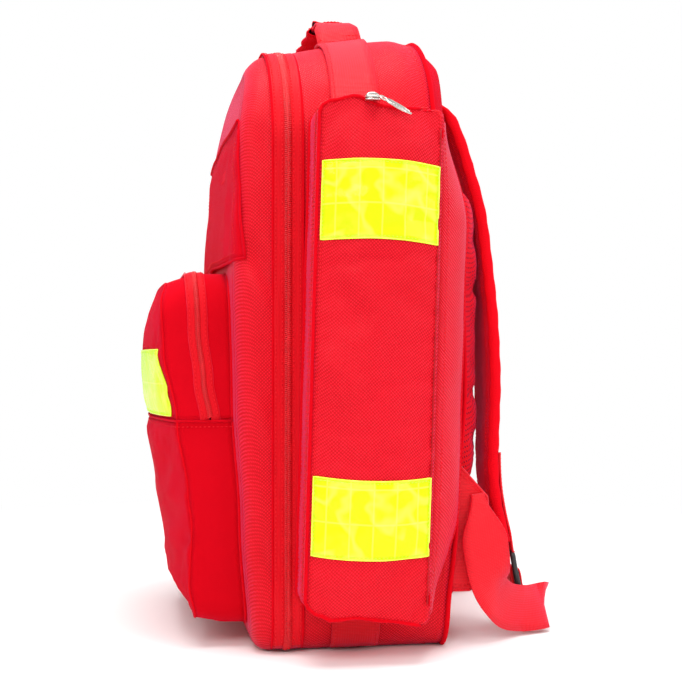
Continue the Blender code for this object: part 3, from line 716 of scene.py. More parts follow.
# Folds are given by their start, end, width and height, for the right half of the bag.
REAR_FOLDS = (
    ((0.155, -0.055, 0.42), (0.150, 0.035, 0.405), 0.008, -0.0022),
    ((0.155, -0.060, 0.455), (0.13, -0.02, 0.43), 0.006, 0.0016),
    ((0.155, -0.062, 0.05), (0.155, -0.03, 0.02), 0.006, 0.0014),
)
LID_FOLDS = (
    ((0.155, -0.105, 0.325), (0.155, -0.078, 0.285), 0.008, -0.0044),
    ((0.153, -0.100, 0.300), (0.155, -0.080, 0.262), 0.007, 0.0032),
    ((0.155, -0.095, 0.415), (0.150, -0.078, 0.380), 0.008, -0.0034),
    ((0.155, -0.096, 0.20), (0.155, -0.079, 0.16), 0.007, 0.0028),
    ((0.155, -0.094, 0.10), (0.155, -0.079, 0.055), 0.006, -0.0018),
)


def lifted(x, y, z):
    """The bag's top rises towards the back, and its base stays flat."""
    return Vector((x, y, z * (1 + TOP_SLOPE * (y - ZIP_Y) / HEIGHT)))


MAIN_OUTLINE = (HALF_WIDTH, 0.0, HEIGHT, FOOT_RADIUS, TOP_RADIUS)


def above_base(z):
    """0 on the base, which stays flat, and 1 from a little way up."""
    return soft_step(z, 0.004, 0.05)


def rear_gusset():
    """The cloth band behind the main zip, round the whole bag, drawn in at its rear seam."""
    rows = []
    for v in [i / 22 for i in range(23)]:
        row = []
        for x, z in ring(*MAIN_OUTLINE):
            y0 = ZIP_Y + SEAM_GAP
            y = y0 + (between(REAR_EDGE, z) - y0) * v
            draw = REAR_DRAW * soft_step(v, 0.80, 1.0) * above_base(z)
            row.append(lifted(x * (1 - draw / HALF_WIDTH), y, z - draw * (z / HEIGHT)))
        rows.append(row)
    sheet = Sheet(rows, -1)

    def height(p, u, v):
        free = math.sin(math.pi * clamp(v, 0, 1)) * above_base(p.z)
        side = 1.0 - soft_step(p.z, 0.36, 0.44)
        full = 0.0016 * free
        dents = 0.0024 * ruffle(p, 14.0, 3.0) + 0.0011 * ruffle(p, 38.0, 9.0)
        return full + (dents * (0.6 + 0.4 * side) + folds(p, REAR_FOLDS)) * free

    return sheet.shaped(height)


def back_face(gusset):
    """The back of the bag, closed by the gusset's rear edge."""
    rows = []
    for x, z in arch(*MAIN_OUTLINE):
        row = []
        for u in [i / 24 for i in range(-24, 25)]:
            draw = REAR_DRAW * above_base(z)
            dome = 0.0035 * (1 - u * u) * math.sin(math.pi * clamp(z / HEIGHT))
            edge = between(REAR_EDGE, z)
            dome += max(0.0, 0.0650 - edge) * (1 - u**10) * soft_step(HEIGHT - z, 0.0, 0.030)
            p = lifted(u * x * (1 - draw / HALF_WIDTH), edge, z - draw * (z / HEIGHT))
            row.append(p + Vector((0, dome + 0.0008 * ruffle(p, 22.0) * (1 - u**4), 0)))
        rows.append(row)
    return Sheet(rows, -1)


def loop_at(sheet, v, out=0.0):
    """Marks round a closed band at one v, each (point, normal)."""
    last = len(sheet.rows[0]) - 1
    return [(sheet.lift(j / last, v, out), sheet.normal(j / last, v)) for j in range(last + 1)]


def clipped(marks, low):
    """The marks that lie above a height, in one run."""
    first = next(i for i, (p, _) in enumerate(marks) if p.z > low)
    last = next(i for i in range(len(marks) - 1, 0, -1) if marks[i][0].z > low)
    return marks[first : last + 1]


def main_shell():
    gusset = rear_gusset()
    body = panel("body_gusset", gusset, HONEYCOMB, WALL, LINING)
    worn(body, "root", "honeycomb_fabric")
    worn(panel("body_back", back_face(gusset), OXFORD, WALL, LINING), "root", "honeycomb_fabric")
    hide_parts("rear_compartment")
    rear = [(p + n * 0.0004 + Vector((0, 0.0012, 0)), n) for p, n in loop_at(gusset, 1.0)]
    rear = [(Vector((p.x, p.y, max(p.z, 0.0022))), n) for p, n in rear]
    cord("rear_piping", rear[:-1], 0.0021, PIPING, "root", closed=True)
    thread("root").stitches(clipped(loop_at(gusset, 0.955), 0.004))
    return gusset


def lid_face_point(u, x, z):
    """A point of the lid's front face: u from -1 to 1 across the level whose half width is x."""
    rise = math.sin(math.pi * clamp(z / HEIGHT)) ** 0.7
    dome = LID_DOME * (1 - u * u) * rise
    return lifted(u * x, between(LID_FACE, z) - dome, z)


def lid_gusset():
    """The cloth band in front of the main zip, with the rounded corner where the face begins."""
    rows = []
    profile = [(0.0, t / 6) for t in range(6)]
    profile += [(math.radians(a), 1.0) for a in range(0, 91, 15)]
    y0 = ZIP_Y - SEAM_GAP
    for angle, share in profile:
        row = []
        for x, z in lid_ring(LID_ROUNDING * (1 - math.cos(angle))):
            corner = min(between(LID_FACE, z) + LID_ROUNDING, y0 - 0.002)
            y = y0 + (corner - y0) * share - LID_ROUNDING * math.sin(angle)
            if angle > 1.5:  # where the corner ends, on the face
                y = between(LID_FACE, z)
            row.append(lifted(x, y, z))
        rows.append(row)
    sheet = Sheet(rows, 1)

    def height(p, u, v):
        free = math.sin(math.pi * v) * above_base(p.z)
        dents = 0.0026 * ruffle(p, 15.0, 5.0) + 0.0012 * ruffle(p, 42.0, 2.0)
        return (dents + folds(p, LID_FOLDS)) * free

    return sheet.shaped(height)


def lid_ring(inset):
    """The lid's outline drawn in by inset, point for point the same as the outer one."""
    made = []
    centre_foot = (HALF_WIDTH - FOOT_RADIUS, FOOT_RADIUS)
    centre_top = (HALF_WIDTH - TOP_RADIUS, HEIGHT - TOP_RADIUS)
    for x, z in ring(*MAIN_OUTLINE):
        side, sign = abs(x), (1 if x >= 0 else -1)
        if side > centre_foot[0] and z < centre_foot[1]:
            scale = max(0.003, FOOT_RADIUS - inset) / FOOT_RADIUS
            side = centre_foot[0] + (side - centre_foot[0]) * scale
            z = centre_foot[1] + (z - centre_foot[1]) * scale
        elif side > centre_top[0] and z > centre_top[1]:
            scale = (TOP_RADIUS - inset) / TOP_RADIUS
            side = centre_top[0] + (side - centre_top[0]) * scale
            z = centre_top[1] + (z - centre_top[1]) * scale
        elif z <= 1e-6:
            z = inset
        elif z >= HEIGHT - 1e-6:
            z = HEIGHT - inset
        else:
            side -= inset
        made.append((side * sign, z))
    return made


def lid_face():
    """The front of the lid, inside the rounded corner."""
    whole = lid_ring(LID_ROUNDING)
    half = [p for p in whole[: len(whole) // 2 + 1] if p[0] > 0.05]
    columns = [i / 26 for i in range(-26, 27)]
    return Sheet([[lid_face_point(u, x, z) for u in columns] for x, z in half], 1)


def lid_shell():
    gusset = lid_gusset()
    side = panel("lid_gusset", gusset, HONEYCOMB, WALL, LINING)
    worn(side, "lid", "honeycomb_fabric")
    worn(panel("lid_face", lid_face(), HONEYCOMB, WALL, LINING), "lid", "honeycomb_fabric")
    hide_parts("front_lid")
    return gusset


# ---- main zip ----
def main_zip(gusset, lid_band):
    """Two tapes sewn along the opening, and the coil's two rows of elements between them."""
    tape_width, tape_thick = 0.0105, 0.0012
    for half, sheet, body, sign in (("rear", gusset, "root", 1), ("front", lid_band, "lid", -1)):
        marks = clipped(loop_at(sheet, 0.0, 0.0010), 0.0015)
        moved = [(p + Vector((0, sign * tape_width / 2, 0)), n) for p, n in marks]
        band = strip(f"main_zip_tape_{half}", moved, tape_width, tape_thick, ZIP, 0.0004)
        worn(band, body, "zip_tape", f"main_zip_{half}")
        for off in (0.0036, 0.0086):
            row = [(p + Vector((0, sign * off, 0)) + n * 0.0009, n) for p, n in marks]
            thread(body).stitches(row)
        ridge = [(p + Vector((0, sign * (tape_width + 0.0004), 0)) + n * 0.0004, n)
                 for p, n in marks]
        cord(f"main_zip_edge_{half}", ridge, 0.0011, PIPING, body, "zip_tape", sides=6)
        coil = Small()
        line = resampled(marks, 0.0016)
        for i, ((p, n), (q, _)) in enumerate(zip(line, line[1:])):
            along = (q - p).normalized()
            across = Vector((0, sign, 0))
            shift = along * (0.0004 * sign)
            coil.brick(p + across * 0.0001 + n * 0.0011 + shift, along * 0.00062, across * 0.0019,
                       n * 0.0008)
        worn(coil.made(f"main_zip_coil_{half}", COIL), body, "zip_tape")


# ---- cloth simulation ----
SETTLE_FRAMES = 18


def simulate(points, faces, pinned, pressure, slack, cap):
    """Points after a pressed cloth has settled, each moved no further than cap."""
    cloth = mesh_object("settling", points, faces, OXFORD)
    group = cloth.vertex_groups.new(name="pinned")
    group.add(pinned, 1.0, "REPLACE")
    settings = cloth.modifiers.new("settle", "CLOTH").settings
    settings.vertex_group_mass = "pinned"
    settings.quality = 4
    settings.mass = 0.25
    settings.tension_stiffness = settings.compression_stiffness = 25
    settings.shear_stiffness = 12
    settings.bending_stiffness = 0.35
    settings.use_pressure = True
    settings.uniform_pressure_force = pressure
    settings.shrink_min = -slack
    settings.effector_weights.gravity = 0
    scene = bpy.context.scene
    for number in range(1, SETTLE_FRAMES + 1):
        scene.frame_set(number)
    graph = bpy.context.evaluated_depsgraph_get()
    settled = cloth.evaluated_get(graph).data
    made = []
    for before, vertex in zip(points, settled.vertices):
        move = vertex.co - before
        if move.length > cap:
            move = move.normalized() * cap
        made.append(before + move)
    scene.frame_set(1)
    bpy.data.objects.remove(cloth)
    return made


def settle(sheet, pressure, slack, cap):
    """The sheet as cloth sewn down along its border, and pressed out from behind."""
    wide, tall = len(sheet.rows[0]), len(sheet.rows)
    pinned = [k for k in range(wide * tall) if k // wide in (0, tall - 1)
              or k % wide in (0, wide - 1)]
    made = simulate(sheet.points(), sheet.faces(), pinned, pressure, slack, cap)
    sheet.rows = [made[i * wide : (i + 1) * wide] for i in range(tall)]
    return sheet


def tree_of(sheet):
    return BVHTree.FromPolygons(sheet.points(), sheet.faces())


def laid_on(tree, point, direction, out):
    """The point moved along direction until it lies out above the sheet of the tree."""
    hit, _, _, _ = tree.ray_cast(point - direction * 0.2, direction)
    if hit is None:
        hit, _, _, _ = tree.find_nearest(point)
    return hit - direction * out


def patch(name, sheet, tree, rows, direction, body, slot_name):
    """Reflective tape laid on a face, with a welded edge and a row of stitches."""
    direction = Vector(direction)
    made = Sheet([[laid_on(tree, Vector(p), direction, 0.0011) for p in row] for row in rows],
                 sheet.outward)
    piece = panel(name, made, TAPE, 0.0007)
    worn(piece, body, slot_name)
    inside = ((0.012, 0.03), (0.988, 0.03), (0.988, 0.97), (0.012, 0.97), (0.012, 0.03))
    thread("yellow " + body).stitches(made.path(inside, 0.0001), 0.0030, 0.0022, 0.00030)
    rim = ((0.0, 0.0), (1.0, 0.0), (1.0, 1.0), (0.0, 1.0))
    edge = made.path(rim + (rim[0],), 0.0)[:-1]
    cord(name + "_edge", edge, 0.0006, TAPE, body, slot_name, closed=True, sides=6)
    return piece


# ---- load webbing and handle ----
def load_webbing(gusset, side, sign):
    """Webbing sewn round the bag, from the foot of its side up to the handle."""
    last = len(gusset.rows[0]) - 1
    foot_x, handle_x = 0.12, 0.068
    marks = []
    for j in range(last + 1):
        p = gusset.rows[0][j]
        if p.x * sign < (handle_x if p.z > HEIGHT / 2 else foot_x):
            continue
        y0 = ZIP_Y + SEAM_GAP
        v = (LOAD_WEBBING_Y - y0) / (between(REAR_EDGE, p.z) - y0)
        u = j / last
        marks.append((gusset.lift(u, v, 0.0018), gusset.normal(u, v)))
    marks = [m for m in marks if m[0].z > 0.0025]
    if sign < 0:
        marks.reverse()
    band = strip(f"load_webbing_{side}", marks, WEBBING_WIDTH, 0.0022, WEBBING)
    worn(band, "root", "red_webbing", f"load_webbing_{side}")
    for off in (-1, 1):
        row = [(p + Vector((0, off * (WEBBING_WIDTH / 2 - 0.003), 0)) + n * 0.0011, n)
               for p, n in marks]
        thread("root").stitches(row)
    for back in (0.006, 0.012):
        p, n = resampled(list(reversed(marks)), back)[1]
        across = [(p + Vector((0, t, 0)) + n * 0.0012, n) for t in (-0.017, -0.006, 0.006, 0.017)]
        thread("root").stitches(across, 0.0028, 0.0023, 0.0005)


HANDLE_HALF_SPAN, HANDLE_RISE = 0.074, 0.0155
WRAP_LENGTH, WRAP_HALF_WIDTH, WRAP_HALF_HEIGHT = 0.074, 0.0168, 0.0052
WRAP_START, WRAP_TURN = 128, 385  # degrees; it closes on itself with hook and loop


def tilted(x, y, z):
    """A point of the handle, measured from its foot with y along the slope of the bag's top."""
    slope = math.atan(TOP_SLOPE)
    foot = Vector((0, LOAD_WEBBING_Y, 0.4995))
    return foot + Matrix.Rotation(slope, 3, "X") @ Vector((x, y, z))


def handle():
    half_span, rise = HANDLE_HALF_SPAN, HANDLE_RISE
    base = lifted(0, LOAD_WEBBING_Y, HEIGHT).z + 0.0038 - tilted(0, 0, 0).z  # on the load webbing
    line = [(half_span + 0.006, base - 0.0004), (half_span + 0.004, base + 0.003),
            (half_span, 0.006), (half_span - 0.008, rise - 0.002),
            (half_span - 0.018, rise + 0.0006), (0.04, rise + 0.0008)]
    line += [(0.0, rise + 0.0014)] + [(-x, z) for x, z in reversed(line)]
    path = smooth_line([tilted(x, 0, z) for x, z in line], 0.003)
    centre = tilted(0, 0, 0)
    ups = [(p - centre + Vector((0, 0, 0.03))).normalized() for p in path]
    ups = [Vector((u.x, 0, u.z)).normalized() for u in ups]

    def gathered(i):
        """The webbing is full width at its feet and folded narrower inside the grip."""
        width = WEBBING_WIDTH - 0.010 * soft_step(path[i].z, tilted(0, 0, 0.007).z,
                                                  tilted(0, 0, rise).z)
        return strip_section(width, 0.0020)

    band = loft("handle_webbing_loop", frames_along(path, ups), gathered, WEBBING)
    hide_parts("handle_webbing")
    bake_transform(band)

    def wrapped(t, v):
        """A point of the grip, t from 0 to 1 round it and v along it."""
        x = WRAP_LENGTH * (v - 0.5)
        flare = 0.0012 * math.cos(x * 190) + 0.0006 * ruffle((x, 0, 0), 70.0)
        angle = math.radians(WRAP_START - WRAP_TURN * t)
        wide = WRAP_HALF_WIDTH + flare + 0.0010 * (1 - t)
        tall = WRAP_HALF_HEIGHT + 0.0014 * (1 - t) + 0.5 * flare
        lift = 0.0042 * soft_step(1 - t, 0.93, 1.0) * (0.6 + 0.4 * math.cos(x * 120 + 1.0))
        return tilted(x, wide * math.cos(angle), rise + 0.0012 + tall * math.sin(angle) + lift)

    wrap = grid(24, 44, wrapped, -1)
    cover = panel("handle_wrap", wrap, OXFORD, 0.0011, HOOK_LOOP)
    worn(cover, "handle", "grip_fabric", "handle_grip")
    for v in (0.03, 0.97):
        thread("handle").stitches(wrap.path(((0.08, v), (1.0, v)), 0.0003), 0.0030)
    thread("handle").stitches(wrap.path(((0.985, 0.02), (0.985, 0.98)), 0.0003), 0.0030)
    for sign in (1, -1):
        for t in (0.0028, 0.0065):
            row = [(tilted(sign * (half_span + 0.0063 - t * 0.5), y, base + t),
                    Vector((sign, 0, 0.3)))
                   for y in (-0.017, 0.0, 0.017)]
            thread("root").stitches(row, 0.0028, 0.0023, 0.0005)
        fold_line = [tilted(sign * (half_span + 0.0072), y, base + 0.0003 * ruffle((y, 0, 0), 60))
                     for y in [i * 0.004 - 0.020 for i in range(11)]]
        ridge = tube(f"handle_fold_{sign + 1}", fold_line, 0.0014, WEBBING, (0, 0, 1))
        worn(ridge, "root", "red_webbing")


# ---- side pockets ----
POCKET_LEAN = math.radians(1.7)
SIDE_X, SIDE_Y, SIDE_Z = 0.158, -0.0102, 0.225
SIDE_HALF_WIDTH, SIDE_HALF_HEIGHT, SIDE_DEPTH = 0.047, 0.200, 0.042
SIDE_REAR_FLARE = 0.0315  # of its back wall, which runs out to the edge of the bag
SIDE_CORNER = 0.007
SIDE_RIM = 0.0050  # depth of the flap's rim
SIDE_TAPE_HEIGHT = 0.058
SIDE_OUTLINE = (SIDE_HALF_WIDTH, -SIDE_HALF_HEIGHT, SIDE_HALF_HEIGHT, SIDE_CORNER, SIDE_CORNER)
SIDE_RIM_TOP = ((-0.047, -0.0090), (-0.040, -0.0075), (-0.020, -0.0025), (-0.006, -0.0075),
                (0.003, -0.0092), (0.015, -0.0095), (0.032, -0.0092), (0.047, -0.0080))
SIDE_RIM_BASE = ((-0.047, 0.018), (-0.038, 0.015), (-0.028, 0.0105), (-0.010, 0.0125),
                 (0.014, 0.0100), (0.047, 0.006))


def side_point(sign, along, out, up):
    """A point of a side pocket: along towards the back, out from the bag, up its own lean."""
    up += between(SIDE_RIM_TOP, along) * soft_step(up, 0.155, 0.20)
    up += between(SIDE_RIM_BASE, along) * soft_step(-up, 0.150, 0.20)
    s, c = math.sin(POCKET_LEAN), math.cos(POCKET_LEAN)
    return Vector((sign * (SIDE_X + out), SIDE_Y + along * c + up * s, SIDE_Z - along * s + up * c))


def side_loop(sign, out, grow=0.0, flare=0.0):
    """The outline of a side pocket at one distance from the bag."""
    outline = ring(SIDE_HALF_WIDTH + grow, -SIDE_HALF_HEIGHT - grow, SIDE_HALF_HEIGHT + grow,
                   SIDE_CORNER + grow, SIDE_CORNER + grow)
    made = []
    for along, up in outline:
        back = flare * soft_step(along, SIDE_HALF_WIDTH - 0.010, SIDE_HALF_WIDTH)
        back *= 0.30 + 0.70 * soft_step(SIDE_HALF_HEIGHT - abs(up), 0.0, 0.09)
        made.append(side_point(sign, along + back, out, up))
    return made


def zip_along(name, marks, across, body, tape_width):
    """Half a zip along marks: the tape lies to the side that across points to."""
    moved = [(p + across * tape_width / 2, n) for p, n in marks]
    worn(strip(name + "_tape", moved, tape_width, 0.0010, ZIP, 0.0003), body, "zip_tape")
    row = [(p + across * (tape_width - 0.0018) + n * 0.0008, n) for p, n in marks]
    thread(body).stitches(row)
    coil = Small()
    line = resampled(marks, 0.0015)
    for (p, n), (q, _) in zip(line, line[1:]):
        along = (q - p).normalized()
        coil.brick(p + n * 0.0009, along * 0.00048, n.cross(along) * 0.0015, n * 0.0007)
    worn(coil.made(name + "_coil", COIL), body, "zip_tape")


def side_pocket(side, sign):
    body = f"side_flap_{side}"
    tray = Sheet([side_loop(sign, 0.0006 + (SIDE_DEPTH - 0.0008) * i / 8, 0.0,
                            SIDE_REAR_FLARE * (1 - (i / 8) ** 1.7)) for i in range(9)], sign)

    def dent(p, u, v):
        free = math.sin(math.pi * v)
        return free * (0.0014 * ruffle(p, 18.0, 4.0) + 0.0008 * ruffle(p, 45.0, 1.0) + 0.0006)

    tray.shaped(dent)
    walls = panel(f"side_tray_{side}", tray, HONEYCOMB, SIDE_CLOTH, LINING)
    worn(walls, "root", "honeycomb_fabric", f"side_pocket_{side}")
    seam = [(tray.at(u, 0.0), Vector((sign, 0, 0))) for u in [i / 160 for i in range(160)]]
    cord(f"side_tray_piping_{side}", seam, 0.0019, PIPING, "root", closed=True)
    for v in (0.16, 0.84):
        thread("root").stitches(loop_at(tray, v, 0.0002))

    # The rim and face of the flap, which open together.
    rim_rows = [side_loop(sign, SIDE_DEPTH + 0.0005 + t * (SIDE_RIM - 0.0005))
                for t in (0, 0.35, 0.7, 1)]
    rim = Sheet(rim_rows, sign)
    edge = panel(f"side_rim_{side}", rim, OXFORD, 0.0014, LINING)
    worn(edge, body, "honeycomb_fabric")
    rows = []
    for half, up in arch(*SIDE_OUTLINE, 0.005):
        row = []
        for u in [i / 12 for i in range(-12, 13)]:
            dome = (1 - u * u) * (1 - (up / SIDE_HALF_HEIGHT) ** 6)
            row.append(side_point(sign, u * half, SIDE_DEPTH + SIDE_RIM + 0.0068 * dome, up))
        rows.append(row)
    face = Sheet(rows, sign)

    def dress(p, u, v):
        free = 16 * u * (1 - u) * v * (1 - v)
        fade = min(1.0, 3 * free)
        height = 0.0014 * ruffle(p, 20.0, 7.0) + 0.0008 * ruffle(p, 48.0, 3.0)
        for start, end, wide, tall in (
            ((-0.041, 0.165), (-0.018, 0.128), 0.007, -0.0032),
            ((-0.042, 0.135), (-0.020, 0.118), 0.006, 0.0014),
            ((-0.044, 0.066), (-0.006, 0.030), 0.011, -0.0042),
            ((-0.044, 0.010), (-0.010, -0.030), 0.011, 0.0034),
            ((0.043, 0.182), (0.008, 0.152), 0.009, 0.0028),
            ((-0.041, -0.150), (-0.010, -0.172), 0.009, 0.0026),
            ((0.042, -0.185), (0.020, -0.150), 0.008, -0.0014),
        ):
            a = side_point(sign, start[0], SIDE_DEPTH + 0.008, start[1])
            b = side_point(sign, end[0], SIDE_DEPTH + 0.012, end[1])
            height += fold(p, a, b, wide, tall)
        return height * fade

    settle(face, 3.0, 0.012, 0.0045).shaped(dress)
    front = panel(f"side_face_{side}", face, HONEYCOMB, SIDE_CLOTH, LINING)
    worn(front, body, "honeycomb_fabric", f"side_flap_{side}")
    # Its piping runs round the base, front and top; the rear edge is a plain fold.
    border = [p + Vector((sign * 0.0003, 0, 0))
              for p in side_loop(sign, SIDE_DEPTH + SIDE_RIM, 0.0004)[:-1]]
    fold_y = max(p.y for p in border) - 0.014
    rear = [k for k, p in enumerate(border) if p.y > fold_y]
    border = border[rear[-1] + 1 :] + border[: rear[0]]
    worn(tube(f"side_face_piping_{side}", border, 0.0014, PIPING, (sign, 0, 0)), body,
         "oxford_fabric")
    inside = [(p, n) for p, n in face.path(((0.035, 0.012), (0.965, 0.012), (0.965, 0.988),
                                            (0.035, 0.988), (0.035, 0.012)), 0.0003)]
    thread(body).stitches(inside)

    # Zip: up the front wall and over the top.
    outline = ring(*SIDE_OUTLINE)
    order = [k for k, (a, b) in enumerate(outline) if (a < 0 and b > -0.188)
             or (b > 0.19 and a < 0.040)]
    for half, out, lead, rides in (("tray", SIDE_DEPTH - 0.0006, -1, "root"),
                                   ("flap", SIDE_DEPTH + 0.0010, 1, body)):
        loop = side_loop(sign, out, 0.0006)
        last = len(loop) - 1
        marks = []
        for k in order:
            normal = tray.normal(k / last, 0.97)
            marks.append((loop[k] + normal * 0.0004, normal))
        across = Vector((sign * lead, 0, 0))
        zip_along(f"side_zip_{half}_{side}", marks, across, rides, 0.0085 if lead < 0 else 0.0036)

    # Reflective patches.
    tree = tree_of(face)
    for name, middle, arc in (("upper", 0.1216, -0.0028), ("lower", -0.1153, 0.0030)):

        def taped(a, v):
            u = 0.94 * (2 * a - 1)
            up = middle + SIDE_TAPE_HEIGHT * (v - 0.5) + arc * u * u
            return side_point(sign, u * SIDE_HALF_WIDTH, 0.08, up)

        rows = grid(16, 24, taped).rows
        made = patch(f"side_tape_{name}_{side}_skin", face, tree, rows, (-sign, 0, 0), body,
                     "reflective_tape")
        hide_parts(f"side_tape_{name}_{side}")


# ---- front pocket ----
POCKET_ZIP_Y = -0.137
POCKET_ZIP = ((0.180, -0.1265), (0.212, -0.1320), (0.252, -0.1365), (0.302, -0.1385))
POCKET_CORNER = ((0.018, -0.138), (0.050, -0.1430), (0.098, -0.1410), (0.122, -0.1440),
                 (0.180, -0.1525),
                 (0.235, -0.1630), (0.280, -0.1650), (0.302, -0.1600))
POCKET_BULGE = ((0.018, 0.001), (0.050, 0.010), (0.110, 0.018), (0.150, 0.019), (0.180, 0.018),
                (0.235, 0.0095), (0.280, 0.006), (0.302, 0.003))
FRONT_TAPE_HALF_WIDTH, FRONT_TAPE_LOW, FRONT_TAPE_HEIGHT = 0.116, 0.1838, 0.0524
POCKET_FALL = 0.35  # of the pocket's top towards the front
POCKET_FOOT, POCKET_CROWN = 0.014, 0.030  # radii of its corners
POCKET_OUTLINE = (POCKET_HALF_WIDTH, POCKET_BOTTOM, POCKET_TOP, POCKET_FOOT, POCKET_CROWN)


def pocket_level(x, y, z):
    share = (z - POCKET_BOTTOM) / (POCKET_TOP - POCKET_BOTTOM)
    fall = POCKET_FALL * max(0.0, POCKET_ZIP_Y - y) * max(0.0, share - 0.75) / 0.25
    rise = 0.25 * max(0.0, POCKET_ZIP_Y + 0.02 - y) * max(0.0, 0.12 - share) / 0.12
    return Vector((x, y, z - fall + rise))


def pocket_point(u, x, z):
    bulge = between(POCKET_BULGE, z)
    soft = 1 - abs(u) ** 2.4
    return pocket_level(u * x, between(POCKET_CORNER, z) - bulge * soft, z)


def pocket_run(low, high):
    """The pocket's outline between two heights, from the left side to the right one."""
    loop = ring(*POCKET_OUTLINE)
    half = loop[: len(loop) // 2 + 1]
    straight_side = (POCKET_BOTTOM + POCKET_FOOT, POCKET_TOP - POCKET_CROWN)
    right = [(x, z) for x, z in half if low + 0.0005 < z < high - 0.0005]
    if straight_side[0] < low < straight_side[1]:
        right.insert(0, (POCKET_HALF_WIDTH, low))
    if straight_side[0] < high < straight_side[1]:
        right.append((POCKET_HALF_WIDTH, high))
    left = [(-x, z) for x, z in right]
    if low < POCKET_BOTTOM:
        return list(reversed(left)) + [p for p in right if p[0] > 1e-6]
    return left + [p for p in reversed(right) if p[0] > 1e-6]


def pocket_band(run, near, far, count):
    """A wall of the pocket: near and far give its Y at a height and a place across."""
    rows = []
    for i in range(count + 1):
        row = []
        for x, z in run:
            y = near(x, z) + (far(x, z) - near(x, z)) * i / count
            row.append(pocket_level(x, y, z))
        rows.append(row)
    return Sheet(rows, 1)


POUCH_FOLDS = (
    ((0.122, -0.143, 0.104), (0.122, -0.118, 0.090), 0.005, 0.0016),
    ((0.122, -0.142, 0.094), (0.122, -0.128, 0.066), 0.005, -0.0016),
    ((0.122, -0.126, 0.172), (0.122, -0.118, 0.080), 0.006, 0.0010),
    ((0.120, -0.143, 0.104), (0.070, -0.158, 0.078), 0.008, 0.0038),
    ((0.120, -0.143, 0.094), (0.085, -0.153, 0.050), 0.007, -0.0034),
    ((0.118, -0.153, 0.172), (0.060, -0.168, 0.130), 0.010, -0.0034),
    ((0.116, -0.150, 0.150), (0.080, -0.160, 0.112), 0.007, 0.0018),
    ((0.100, -0.140, 0.024), (0.050, -0.155, 0.060), 0.009, 0.0018),
)


def pouch_dress(p, u, v):
    edge = min(1.0, 12 * v * (1 - v))
    return (0.0018 * ruffle(p, 17.0, 6.0) + 0.0010 * ruffle(p, 44.0, 1.0)
            + folds(p, POUCH_FOLDS)) * edge


